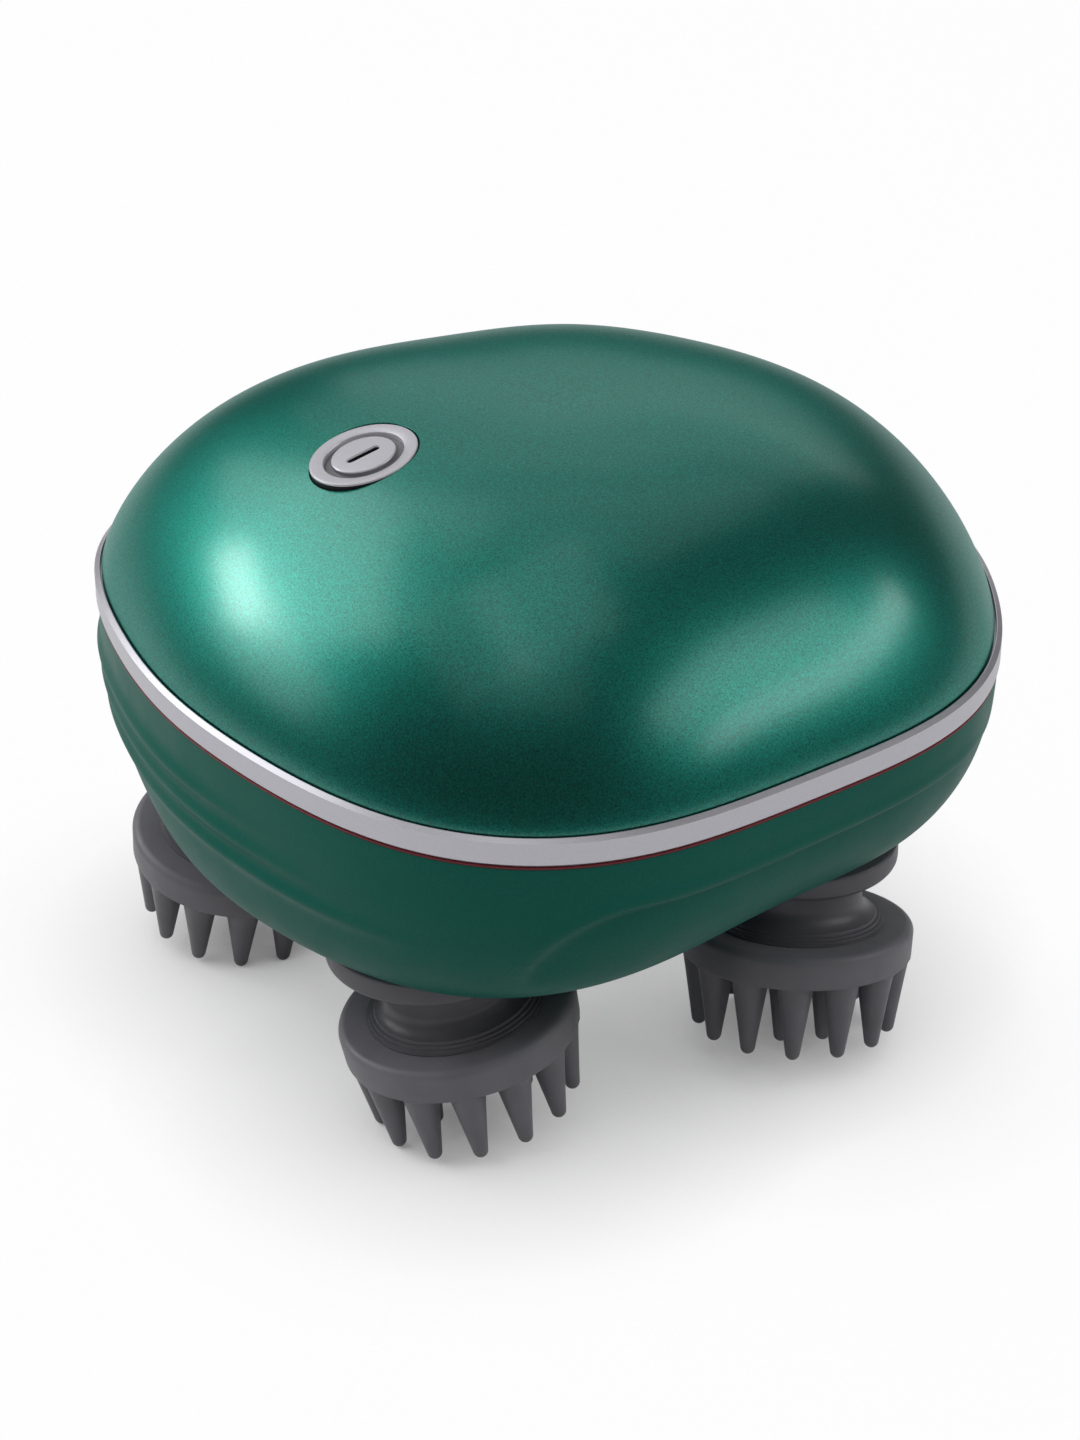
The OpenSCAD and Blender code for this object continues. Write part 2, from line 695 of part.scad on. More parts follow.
// Motor upright on the cover, its shaft pointing down into the gearbox
module motor_can() {
    color(steel) translate([motor_x, 0, cover_top]) difference() {
        union() {
            rotate_extrude() polygon([
                [0, 0],
                [motor_radius, 0],
                [motor_radius, motor_height - 1],
                [motor_radius - 1, motor_height],
                [0, motor_height]
            ]);
            translate([0, 0, -1.2]) cylinder(r = motor_register, h = 2);
            translate([0, 0, motor_height - 1]) cylinder(r = 3.2, h = 1.8);
        }
        translate([0, 0, -2]) cylinder(r = motor_shaft_radius + running_gap, h = motor_height);
        for (side = [-1, 1]) translate([0, side * motor_screw_reach, -1])
            cylinder(r = small_screw_radius, h = 4);
    }
}
module motor_shaft() {
    color(steel) translate([motor_x, 0, fast_z - pinion_overlap])
        cylinder(r = motor_shaft_radius, h = cover_top - fast_z + motor_height * 2 / 3);
}
pinion_overlap = 0.3;
cluster_phase = mesh_turn(upper_teeth, 0, cluster_pinion_teeth, 0);
module motor_pinion() {
    color(bronze) translate([motor_x, 0, fast_z - pinion_overlap]) difference() {
        rotate([0, 0, mesh_turn(cluster_teeth, cluster_phase, pinion_teeth, 180)])
            linear_extrude(fast_width + 2 * pinion_overlap) gear_face(pinion_teeth, fast_module);
        translate([0, 0, -1]) cylinder(r = motor_shaft_radius, h = fast_width + 3);
    }
}
module motor_screws() {
    color(steel) for (side = [-1, 1]) translate([motor_x, side * motor_screw_reach, cover_z + 0.6])
        rotate([180, 0, 0]) screw(small_screw_radius, 1.9, 0.9, plate + 1.6);
}

// Gearbox plate that follows the lower shell's inside at the height of the base
plate_gap = 0.6;
notch_gap = 0.8;
plate_share = belly_share(base_z, wall);
module train_plate(z) {
    translate([0, 0, z]) linear_extrude(plate) polygon([for (i = [0 : around - 1]) let (
        a = i * 360 / around,
        inset = lower_inset + wall + tuck(a) * plate_share + plate_gap
    ) outline_point(a, inset)]);
}
module column_notches() {
    for (p = column_places) at_place(p, base_z - 1)
        cylinder(r = column_radius + notch_gap, h = cover_top - base_z + 2);
}
bush_wall = 1.5;
bush_seat = 1.4;
bush_radius = shaft_radius + bush_wall;
boss_gap = 0.4;
screw_slack = 0.15;
hub_clearance = 0.3;
hub_wall = 2.2;
// Lower plate of the gearbox, with bush seats, the axles' bosses and the pillars
module gearbox_base() {
    color(plastic_black) difference() {
        union() {
            train_plate(base_z);
            for (i = [0 : 3]) at_output(i, base_z) cylinder(r = bush_radius + bush_seat, h = bush_length);
            translate([train_x, 0, base_z]) cylinder(r = shaft_radius + hub_wall, h = plate + 1.2);
            translate([cluster_x, 0, base_z]) cylinder(r = 2.4, h = upper_z - boss_gap - base_z);
            for (p = pillar_places) at_place(p, base_z) cylinder(r = pillar_radius, h = cover_z - base_z);
        }
        column_notches();
        for (i = [0 : 3]) at_output(i, base_z - 1) cylinder(r = bush_radius, h = bush_length + 2);
        translate([train_x, 0, base_z - 1]) cylinder(r = shaft_radius, h = 8);
        translate([cluster_x, 0, base_z - 1]) cylinder(r = cluster_axle_radius, h = upper_z - base_z + 1);
        for (p = pillar_places) at_place(p, base_z - 1)
            cylinder(r = case_screw_radius + screw_slack, h = cover_top - base_z);
    }
}
shaft_top = cover_z - 1;
upper_bush_z = shaft_top - 3.5;
// Upper plate of the gearbox, with the upper bush seats and the motor's register
module gearbox_cover() {
    color(plastic_black) difference() {
        union() {
            train_plate(cover_z);
            for (i = [0 : 3]) at_output(i, upper_bush_z)
                cylinder(r = bush_radius + bush_seat, h = cover_top - upper_bush_z);
            for (sx = [-1, 1], sy = [-1, 1]) at_place(board_corner(sx, sy), cover_top)
                cylinder(r = 2.4, h = board_z - cover_top);
        }
        column_notches();
        for (i = [0 : 3]) at_output(i, upper_bush_z - 1)
            cylinder(r = bush_radius, h = shaft_top - upper_bush_z + 1);
        translate([train_x, 0, cover_z - 1]) cylinder(r = shaft_radius, h = 8);
        translate([cluster_x, 0, cover_z - 1]) cylinder(r = cluster_axle_radius, h = 8);
        translate([motor_x, 0, cover_z - 1]) cylinder(r = motor_register, h = 8);
        for (side = [-1, 1]) translate([motor_x, side * motor_screw_reach, 0]) {
            translate([0, 0, cover_z - 1]) cylinder(r = small_screw_radius, h = 8);
            translate([0, 0, cover_z - 1]) cylinder(r = 2, h = 1.6);
        }
        for (p = pillar_places) at_place(p, cover_z) {
            translate([0, 0, -1]) cylinder(r = case_screw_radius + screw_slack, h = plate + 2);
            translate([0, 0, plate - gearbox_head_depth]) cylinder(r = 2.7, h = plate);
        }
        for (sx = [-1, 1], sy = [-1, 1]) at_place(board_corner(sx, sy), board_z - 3)
            cylinder(r = small_screw_radius, h = 4);
        for (side = [-1, 1]) at_place(ear_place(side), cover_z + 0.6)
            cylinder(r = small_screw_radius, h = 4);
    }
}
gearbox_head_depth = 1.5;
module gearbox_screws() {
    color(steel) for (p = pillar_places) at_place(p, cover_top - gearbox_head_depth)
        screw(case_screw_radius, 2.4, 1.4, cover_top - gearbox_head_depth - shell_z - 1.1);
}

// Web between the two wheels of the central gear, its relief and its round openings
web_margin = 4;
web_radius = output_module * central_teeth / 2 - web_margin;
relief_radius = web_radius - 2;
relief_core = 7.5;
central_hole_ring = 13.2;
central_hole = 3.6;
cluster_hole_ring = 9.4;
cluster_hole = 2.6;
// Central gear: a wide wheel that drives the outputs, with the driven wheel on top
module central_gear() {
    color(gear_white) translate([train_x, 0, 0]) difference() {
        union() {
            translate([0, 0, gear_z]) linear_extrude(gear_width) gear_face(central_teeth, output_module);
            translate([0, 0, gear_top]) cylinder(r = web_radius, h = upper_z - gear_top);
            translate([0, 0, upper_z]) linear_extrude(upper_width) gear_face(upper_teeth, upper_module);
            translate([0, 0, base_top + 1.4]) cylinder(r = shaft_radius + 2.5, h = fast_z - base_top - 1.6);
        }
        translate([0, 0, gear_z - 4]) cylinder(r = shaft_radius + running_gap, h = 30);
        translate([0, 0, gear_z - 1]) difference() {
            cylinder(r = relief_radius, h = 1 + gear_width / 2);
            cylinder(r = relief_core, h = 1 + gear_width / 2);
        }
        for (k = [0 : 5]) rotate([0, 0, 30 + k * 60]) translate([central_hole_ring, 0, gear_z - 1])
            cylinder(r = central_hole, h = 14);
    }
}
module central_axle() {
    color(steel) translate([train_x, 0, base_z]) cylinder(r = shaft_radius, h = cover_top - base_z);
}
cluster_axle_radius = 1.5;
module cluster_gear() {
    color(gear_white) translate([cluster_x, 0, 0]) difference() {
        rotate([0, 0, cluster_phase]) {
            translate([0, 0, upper_z - 0.2]) linear_extrude(fast_z - upper_z + 0.3)
                gear_face(cluster_pinion_teeth, upper_module);
            translate([0, 0, fast_z]) linear_extrude(fast_width) gear_face(cluster_teeth, fast_module);
            translate([0, 0, fast_z + fast_width - 0.5]) cylinder(r = 3, h = 1);
        }
        translate([0, 0, upper_z - 2]) cylinder(r = cluster_axle_radius + running_gap, h = 14);
        for (k = [0 : 4]) rotate([0, 0, k * 72]) translate([cluster_hole_ring, 0, fast_z - 1])
            cylinder(r = cluster_hole, h = fast_width + 3);
    }
}
module cluster_axle() {
    color(steel) translate([cluster_x, 0, base_z]) cylinder(r = cluster_axle_radius, h = cover_top - base_z);
}

rotor_web = 1.2;
// Shaft section with one flat, for a sure grip in gear and rotor
module flat_shaft_face(r) {
    difference() {
        circle(r = r);
        translate([r * 0.72, -r]) square([r, 2 * r]);
    }
}
shaft_foot = rotor_z + rotor_web;
spline_z = base_z + bush_length + hub_clearance;
spline_length = upper_bush_z - spline_z - hub_clearance;
module output_gear(i) {
    color(gear_white) at_output(i, 0) difference() {
        union() {
            translate([0, 0, gear_z])
                rotate([0, 0, mesh_turn(central_teeth, 0, output_teeth, output_angles[i])])
                    linear_extrude(gear_width) gear_face(output_teeth, output_module);
            translate([0, 0, spline_z]) cylinder(r = shaft_radius + hub_wall, h = spline_length);
        }
        translate([0, 0, base_z]) linear_extrude(30) flat_shaft_face(shaft_radius);
    }
}
module output_shaft(i) {
    color(steel) at_output(i, 0) {
        translate([0, 0, shaft_foot]) linear_extrude(shaft_z_low - shaft_foot) flat_shaft_face(shaft_radius);
        translate([0, 0, shaft_z_low]) cylinder(r = shaft_radius, h = spline_z - shaft_z_low);
        translate([0, 0, spline_z]) linear_extrude(spline_length) flat_shaft_face(shaft_radius);
        translate([0, 0, upper_bush_z - hub_clearance])
            cylinder(r = shaft_radius, h = shaft_top - upper_bush_z + 0.1);
    }
}
hub_top = base_z - 0.3;
shaft_z_low = hub_top - 0.5;

module head_frame(i) {
    at_output(i, rotor_z) rotate([0, 0, head_phases[i]]) translate([post_offset, 0, 0])
        rotate([0, -head_tilt, 0]) children();
}
post_radius_low = 3.4;
post_length = 7;
hub_screw_length = 6;
post_gap = 0.05;
pad_lip_height = 1;
pad_lip_width = 2;
pad_skirt = 2.2;
flange_top = neck_length + pad_lip_height;
flange_bottom = pad_bottom - pad_plate;
flange_radius = head_radius - pad_skirt;
rotor_chamfer = 0.5;
rotor_edge = 0.3;
// Rotor disc with its sealed hub above and the leaning post below
module rotor(i) {
    color(head_grey) difference() {
        union() {
            at_output(i, rotor_z) {
                rotate_extrude() polygon([
                    [0, 0],
                    [rotor_radius - rotor_chamfer, 0],
                    [rotor_radius, rotor_chamfer],
                    [rotor_radius, rotor_height - rotor_edge],
                    [rotor_radius - rotor_edge, rotor_height],
                    [hub_radius, rotor_height],
                    [hub_radius, hub_top - rotor_z],
                    [0, hub_top - rotor_z]
                ]);
            }
            head_frame(i) translate([0, 0, -post_length])
                cylinder(r = post_radius_low, h = post_length + 1.5);
        }
        at_output(i, shaft_foot) linear_extrude(shaft_z_low - shaft_foot) flat_shaft_face(shaft_radius);
        at_output(i, shaft_z_low) cylinder(r = shaft_radius, h = 5);
        head_frame(i) translate([0, 0, -post_length - 1])
            cylinder(r = small_screw_radius, h = hub_screw_length + 0.5);
    }
}
screw_web = 1.3;
screw_web_gap = 0.2;
// Neck and flange that carry the silicone pad
module head_hub(i) {
    web_low = -post_length - screw_web_gap - screw_web;
    step = (head_radius - neck_radius) * 0.045;
    fillet = 2.2;
    fillet_z = -neck_length + 1.1;
    color(head_grey) difference() {
        head_frame(i) rotate_extrude() polygon(concat(
            [[0, 4], [neck_radius, 4]],
            [for (t = [0 : 15 : 75])
                [neck_radius + fillet * (1 - cos(t)), fillet_z + fillet * (1 - sin(t))]],
            [for (k = [0 : 2]) each [
                [neck_radius + fillet * 0.75 + k * step, fillet_z - 0.1 - k * 0.3],
                [neck_radius + fillet * 0.75 + (k + 1) * step, fillet_z - 0.2 - k * 0.3]
            ]],
            [
                [neck_radius + fillet * 0.75 + 3 * step, -flange_top],
                [flange_radius, -flange_top],
                [flange_radius, -flange_bottom],
                [0, -flange_bottom]
            ]
        ));
        at_output(i, rotor_z) cylinder(r = 2 * head_radius, h = 20);
        head_frame(i) {
            translate([0, 0, -post_length - screw_web_gap])
                cylinder(r = post_radius_low + post_gap, h = post_length + 8);
            translate([0, 0, -flange_bottom - 1]) cylinder(r = small_screw_radius + 0.2, h = flange_bottom);
            translate([0, 0, -flange_bottom - 1]) cylinder(r = 2.6, h = flange_bottom + 1 + web_low);
        }
    }
}
// One soft tooth, hanging from z = 0
module tooth(root) {
    slope_z = -tooth_length + tooth_tip;
    rotate_extrude($fn = 32) polygon(concat(
        [[0, 0.6], [root, 0.6], [root, 0]],
        [for (t = [0 : 15 : 90]) [tooth_tip * cos(t), slope_z - tooth_tip * sin(t)]]
    ));
}
// Silicone pad snapped over the flange, with two rings of teeth
module head_pad(i) {
    lip = flange_radius - pad_lip_width;
    round_top = 1;
    round_low = 0.3;
    rim_top = -neck_length;
    inner_root = tooth_root * 0.9;
    color(head_grey) head_frame(i) {
        rotate_extrude() polygon(concat(
            [[0, -flange_bottom - post_gap], [flange_radius + post_gap, -flange_bottom - post_gap]],
            [[flange_radius + post_gap, -flange_top + post_gap], [lip, -flange_top + post_gap]],
            [[lip, rim_top + 0.2]],
            [for (t = [90 : -15 : 0])
                [head_radius - round_top + round_top * cos(t), rim_top - round_top + round_top * sin(t)]],
            [for (t = [0 : -22.5 : -90])
                [
                    head_radius - 0.1 - round_low + round_low * cos(t),
                    -pad_bottom + round_low + round_low * sin(t)
                ]],
            [[0, -pad_bottom]]
        ));
        rotate([0, 0, pad_turns[i]]) translate([0, 0, -pad_bottom]) {
            for (k = [0 : outer_teeth - 1]) rotate([0, 0, 180 + k * 360 / outer_teeth])
                translate([outer_ring, 0, 0]) tooth(tooth_root);
            for (k = [0 : inner_teeth - 1]) rotate([0, 0, k * 360 / inner_teeth])
                translate([inner_ring, 0, 0]) tooth(inner_root);
        }
    }
}
module hub_screw(i) {
    color(steel) head_frame(i) translate([0, 0, -post_length - screw_web_gap - screw_web])
        rotate([180, 0, 0]) screw(small_screw_radius, 2.2, 1.2, screw_web + hub_screw_length - 1);
}

module lower_bushes() {
    color(bronze) for (i = [0 : 3]) at_output(i, base_z) difference() {
        cylinder(r = bush_radius, h = bush_length);
        translate([0, 0, -1]) cylinder(r = shaft_radius + running_gap, h = bush_length + 2);
    }
}
module upper_bushes() {
    color(bronze) for (i = [0 : 3]) at_output(i, upper_bush_z) difference() {
        cylinder(r = bush_radius, h = shaft_top - upper_bush_z);
        translate([0, 0, -1]) cylinder(r = shaft_radius + running_gap, h = shaft_top - upper_bush_z + 2);
    }
}
// Lip seals that keep water out of the gearbox
module shaft_seals() {
    seal_z = shell_z + recess_depth;
    seal_lip = 0.7;
    seal_rim = 0.8;
    color(plastic_black) for (i = [0 : 3]) at_output(i, seal_z) rotate_extrude() polygon([
        [hub_radius + running_gap, 0],
        [hub_radius + seal_width, 0],
        [hub_radius + seal_width, wall],
        [hub_radius + seal_width - seal_rim, wall],
        [hub_radius + seal_width - seal_rim - 0.3, seal_lip],
        [hub_radius + running_gap, seal_lip]
    ]);
}
module case_screws() {
    color(steel) for (p = column_places) at_place(p, column_ledge) rotate([180, 0, 0])
        screw(case_screw_radius, plug_radius - 0.2, 1.5, case_screw_length);
}
module screw_plugs() {
    color(belly_green) for (s = column_spots) let (p = outline_point(s[0], s[1]))
        at_place(p, plug_z(s)) cylinder(r = plug_radius, h = plug_length);
}

top_shell();
trim_band();
parting_seal();
lower_shell();
button_bezel();
button_gasket();
button_cap();
button_light_bar();
switch_plunger();
tact_switch();
indicator_led();
button_board();
control_board();
board_parts();
board_screws();
battery_cell();
battery_tray();
charge_socket();
charge_contacts();
motor_can();
motor_shaft();
motor_pinion();
motor_screws();
gearbox_base();
gearbox_cover();
gearbox_screws();
central_gear();
central_axle();
cluster_gear();
cluster_axle();
output_gear(0);  // output_gear_1
output_gear(1);  // output_gear_2
output_gear(2);  // output_gear_3
output_gear(3);  // output_gear_4
output_shaft(0);  // output_shaft_1
output_shaft(1);  // output_shaft_2
output_shaft(2);  // output_shaft_3
output_shaft(3);  // output_shaft_4
rotor(0);  // rotor_1
rotor(1);  // rotor_2
rotor(2);  // rotor_3
rotor(3);  // rotor_4
head_hub(0);  // head_hub_1
head_hub(1);  // head_hub_2
head_hub(2);  // head_hub_3
head_hub(3);  // head_hub_4
head_pad(0);  // head_pad_1
head_pad(1);  // head_pad_2
head_pad(2);  // head_pad_3
head_pad(3);  // head_pad_4
hub_screw(0);  // hub_screw_1
hub_screw(1);  // hub_screw_2
hub_screw(2);  // hub_screw_3
hub_screw(3);  // hub_screw_4
lower_bushes();
upper_bushes();
shaft_seals();
case_screws();
screw_plugs();
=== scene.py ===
# Looks of a cordless kneading massager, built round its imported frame.
# Lengths are millimetres and angles degrees unless a name says otherwise. Meshes are made in metres.
import json
import math

import bmesh
import bpy
import numpy as np
from mathutils import Matrix, Vector


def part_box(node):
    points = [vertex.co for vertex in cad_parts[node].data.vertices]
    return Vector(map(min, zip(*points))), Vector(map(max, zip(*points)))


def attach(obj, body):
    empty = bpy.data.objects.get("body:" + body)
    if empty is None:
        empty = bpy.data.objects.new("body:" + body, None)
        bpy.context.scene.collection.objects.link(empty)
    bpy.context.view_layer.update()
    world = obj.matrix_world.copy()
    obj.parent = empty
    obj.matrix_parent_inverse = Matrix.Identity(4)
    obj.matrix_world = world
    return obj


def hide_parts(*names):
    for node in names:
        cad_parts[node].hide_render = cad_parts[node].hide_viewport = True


MM = 0.001
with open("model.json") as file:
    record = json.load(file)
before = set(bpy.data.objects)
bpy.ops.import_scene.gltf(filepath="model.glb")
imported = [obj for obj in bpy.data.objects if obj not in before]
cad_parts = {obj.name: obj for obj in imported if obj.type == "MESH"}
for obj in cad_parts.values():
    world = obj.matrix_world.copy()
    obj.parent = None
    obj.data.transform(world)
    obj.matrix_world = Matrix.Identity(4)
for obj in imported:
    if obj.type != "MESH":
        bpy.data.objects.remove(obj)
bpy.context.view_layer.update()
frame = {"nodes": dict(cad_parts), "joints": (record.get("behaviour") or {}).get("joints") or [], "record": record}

# Driving sizes of the body, as in the part's own source
OUTLINE_RADIUS = 58
LOBES = {2: -0.019, 3: 0.044, 4: -0.026, 6: 0.015}
WALL = 2.2
DOME_INSET = 1.0
DOME_FULLNESS = 3.0
DOME_UPRIGHT = 1.3
DOME_SHIFT = 1.7
SHADOW_GAP = 0.25
BAND_DEPTH = 4.4
LOWER_INSET = 0.3
BELLY_FULLNESS = 3.23
BELLY_UPRIGHT = 2.13
BELLY_TUCK = {0: 22, 1: 4, 2: -13.8, 3: -4}
COLUMN_SPOTS = ((180, 9.2), (95, 14.3), (-95, 14.3), (28, 11.4), (-28, 11.4))
PLUG_RADIUS = 2.6
SOCKET_RADIUS = 5.0
SOCKET_BELOW = 10.0

# Driving sizes of the heads
HEAD_RADIUS = 15
RIM_HEIGHT = 4.4
NECK_RADIUS = 8.2
NECK_LENGTH = 7.6
HEAD_TILT = 10.5
POST_OFFSET = 2
HEAD_PHASES = [88, -20, -126, 35]
PAD_TURNS = [4, 0, -12, 0]
PAD_BOTTOM = NECK_LENGTH + RIM_HEIGHT
OUTER_TEETH = 13
INNER_TEETH = 7
OUTER_RING = 12.2
INNER_RING = 6.3
TOOTH_ROOT = 2.35
TOOTH_TIP = 0.95
TOOTH_LENGTH = 10.3
INNER_SHARE = 0.9
ROTOR_RADIUS = 12.5
ROTOR_HEIGHT = 3.2
ROTOR_BOSS = 6.0
RECESS_GAP = 0.4
SHAFT_INSET = 1.2
SHAFT_BORE = 8.1

# Driving sizes of the button
BUTTON_REACH = 26
BUTTON_TILT = 14.5
BEZEL_RADIUS = 6.8
BEZEL_BORE = 5.0
BEZEL_GAP = 0.2
CAP_RADIUS = 4.05
BAR_LENGTH = 4.4
RUNNING_GAP = 0.06

# Heights in the button, from the dome's face
BEZEL_BASE = -2.0
BEZEL_PROUD = 0.0
CAP_TOP = 0.0
GROOVE_FLOOR = -0.75
FLANGE_TOP = -2.1
FLANGE_LOW = -2.9
STEM_END = -5.2

# Fine edges that only the looks have
BORE_MOUTH = 0.35
BORE_BEVEL = (-0.12, 0.22)
BAND_BEVEL = 0.28
BAND_CHAMFER = (0.62, 0.42)
BAND_BRINK = (0.03, 0.05)
SEAL_EDGE = 0.05
SEAL_PROUD = 0.16
SEAL_ROUND = 0.15
PAD_LIP = 10.9
PAD_DISH = 0.6
PAD_DISH_EDGE = 0.12
PAD_SHOULDER = 1.15
PAD_TAPER = 0.15
PAD_EDGE = 0.3
TOOTH_FLARE = ((0.28, -0.02), (0.12, -0.12), (0.03, -0.3))
NECK_TOP = 3.6
NECK_STRAIGHT = -1.5
NECK_FILLET = 2.3
NECK_FOOT = 1.25
HUB_SUNK = 0.05
HUB_LEVELLED = 0.8
STEP_CORNERS = ((0.05, -0.06), (0.12, -0.34), (0.40, -0.40))
STEP_OUT = 0.42
STEP_DOWN = 0.34
ROTOR_LOW_ROUND = 0.8
ROTOR_TOP_ROUND = 0.4
BEZEL_ROUND = 0.22
BEZEL_INNER = ((0.28, -0.06), (0.1, -0.14), (0.0, -0.32))
STEM_RADIUS = 1.6
FLANGE_REACH = 0.4
GROOVE_FILLET = 0.12
CAP_ROUND = 0.24
BAR_WIDTH = 0.9
BAR_BEVEL = 0.14

# How far cutters reach past what they cut, below and above
BORE_CUT = (-9, 6)
RECESS_CUT = (-4, 6)
PLUG_CUT = (-2, 12)
SOCKET_CUT = (-1, 12)

# Finger ridges round one side: depth of each below the seal and the angle where it fades out
RIDGE_DEPTHS = (6.2, 9.4, 12.8)
RIDGE_FADES = (193, 204, 216)
RIDGE_START = 72
RIDGE_RISE = 14
RIDGE_FADE_SPAN = (-15, 12)
RIDGE_HEIGHT = 0.75
RIDGE_WIDTH = 1.15

# Thumb crease on the other side: a level run with a slight wave, then a quarter turn down
CREASE_DEPTH = 6.2
CREASE_START = -36
CREASE_WAVE = 0.5
CREASE_WAVE_MIDDLE = -85
CREASE_WAVES = 4
CREASE_TURN = -109.5
CREASE_END = -124.0
CREASE_DROP = 15.5
CREASE_STEP = 1.15
CREASE_EDGE = (-0.35, 1.0)
CREASE_FADE = 9.0
CREASE_LIP = 0.25
CREASE_LIP_PLACE = -0.9
CREASE_LIP_WIDTH = 1.1
CREASE_LEFT = (-135, -122)
CREASE_RIGHT = (-62, -38)
CREASE_LOW = (13.5, 22.0)

# Mesh counts round the body, round the lower shell and round each head
BODY_STEPS = 288
BELLY_STEPS = 360
HEAD_STEPS = 144

# Camera, solved from the outline of the band in the photograph
CAMERA_PLACE = (-202.2, -343.5, 248.1)
CAMERA_AZIMUTH = -30
CAMERA_ELEVATION = 28
FOCAL_PIXELS = 3463
FRAME_HEIGHT = 1440
SENSOR = 36.0

# Floor and room: paper is what lights the object, and the camera sees it lifted towards white
PAPER = (0.70, 0.70, 0.705, 1)
WHITE = (1, 1, 1, 1)
FLOOR_HALF = 8000
FLOOR_LIFT = 0.975
MIRRORED_FLOOR = 0.40
SHADOW_REACH = 33
WORLD_LEVEL = 0.075

# Softboxes: name, azimuth and elevation as for a camera, distance, width, height, watts.
# Those named fill light the matt pieces and leave no highlight.
LAMP_TARGET = (0, 0, 50)
LAMPS = (
    ("key_box", -144, 22.5, 620, 180, 95, 0.40),
    ("key_low", -130, 20, 650, 260, 160, 0.18),
    ("key_halo", -150, 35, 700, 520, 380, 1.00),
    ("key_high", -155, 47, 700, 560, 420, 0.24),
    ("top_left", -100, 67, 800, 500, 400, 0.24),
    ("back_low", 140, 22, 900, 800, 200, 0.32),
    ("back_box", 146, 34, 900, 900, 300, 0.37),
    ("back_mid", 148, 46, 900, 800, 300, 0.10),
    ("back_high", 145, 60, 900, 800, 400, 0.34),
    ("top_box", 0, 90, 800, 500, 500, 0.50),
    ("right_strip", 57, 26, 700, 540, 100, 0.58),
    ("right_mid", 44, 39, 700, 380, 160, 0.30),
    ("front_high", -30, 66, 900, 500, 260, 0.12),
    ("fill_front", -30, 45, 900, 900, 500, 0.80),
    ("fill_left", -95, 42, 900, 700, 500, 1.80),
    ("fill_right", 55, 35, 900, 700, 500, 1.10),
)


# Sizes read from the frame
def corners(node):
    low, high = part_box(node)
    return low / MM, high / MM


BAND_Z = corners("trim_band")[0].z
BAND_TOP = corners("trim_band")[1].z
DOME_SEAT = corners("top_shell")[0].z
DOME_TOP = corners("top_shell")[1].z
SHELL_Z = corners("lower_shell")[0].z
LOWER_TOP = corners("lower_shell")[1].z
ROTOR_Z = corners("output_shaft_1")[0].z - SHAFT_INSET
HEAD_AXES = [
    Vector(joint["pos_m"]) / MM for joint in frame["joints"] if joint["name"].startswith("head_")
]


# Outlines and surfaces
def outline_r(a):
    """Radius of the body's outline for angles in radians."""
    return OUTLINE_RADIUS * (1 + sum(k * np.cos(n * a) for n, k in LOBES.items()))


OUTLINE_X = float(outline_r(math.pi) - outline_r(0.0)) / 2


def angles(count):
    return np.arange(count) * 2 * math.pi / count


def outline_ring(inset, z, count):
    a = angles(count)
    r = outline_r(a) - inset
    return np.stack([OUTLINE_X + r * np.cos(a), r * np.sin(a), np.full(count, z)], 1)


def dome_ring(t, thick, count):
    """Level of the dome; t runs from 0 at the edge to 90 degrees at the top."""
    a = angles(count)
    s = math.cos(math.radians(t)) ** (2 / DOME_FULLNESS)
    rise = DOME_TOP - BAND_TOP - thick
    r = s * (outline_r(a) - DOME_INSET - thick)
    x = OUTLINE_X + r * np.cos(a) + DOME_SHIFT * (1 - s)
    z = BAND_TOP + rise * math.sin(math.radians(t)) ** (2 / DOME_UPRIGHT)
    return np.stack([x, r * np.sin(a), np.full(count, z)], 1)


def button_frame():
    """Frame on the dome's face at the button: Z points out of it."""
    half_length = float(outline_r(math.pi)) - DOME_INSET + DOME_SHIFT
    share = (BUTTON_REACH + DOME_SHIFT) / half_length
    z = BAND_TOP + (DOME_TOP - BAND_TOP) * (1 - share**DOME_FULLNESS) ** (1 / DOME_UPRIGHT)
    tilt = Matrix.Rotation(-math.radians(BUTTON_TILT), 4, "Y")
    return Matrix.Translation((OUTLINE_X - BUTTON_REACH, 0, z)) @ tilt


BUTTON_FRAME = button_frame()


def tuck(a):
    """Pull-in of the underside for angles in radians."""
    return sum(k * np.cos(n * a) for n, k in BELLY_TUCK.items())


def smooth_step(x, low, high):
    u = np.clip((x - low) / (high - low), 0, 1)
    return u * u * (3 - 2 * u)


def crease_path():
    """Points of the thumb crease as angle in degrees and depth, about a millimetre each way."""
    level = []
    for a in np.arange(CREASE_START, CREASE_TURN, -1.0):
        wave = math.sin(math.radians((a - CREASE_WAVE_MIDDLE) * CREASE_WAVES))
        level.append((a, CREASE_DEPTH - CREASE_WAVE * wave))
    turn = []
    for u in np.linspace(0, 90, 40):
        angle = CREASE_TURN + (CREASE_END - CREASE_TURN) * math.sin(math.radians(u))
        turn.append((angle, level[-1][1] + CREASE_DROP * (1 - math.cos(math.radians(u)))))
    return np.array(level + turn)


CREASE_PATH = crease_path()


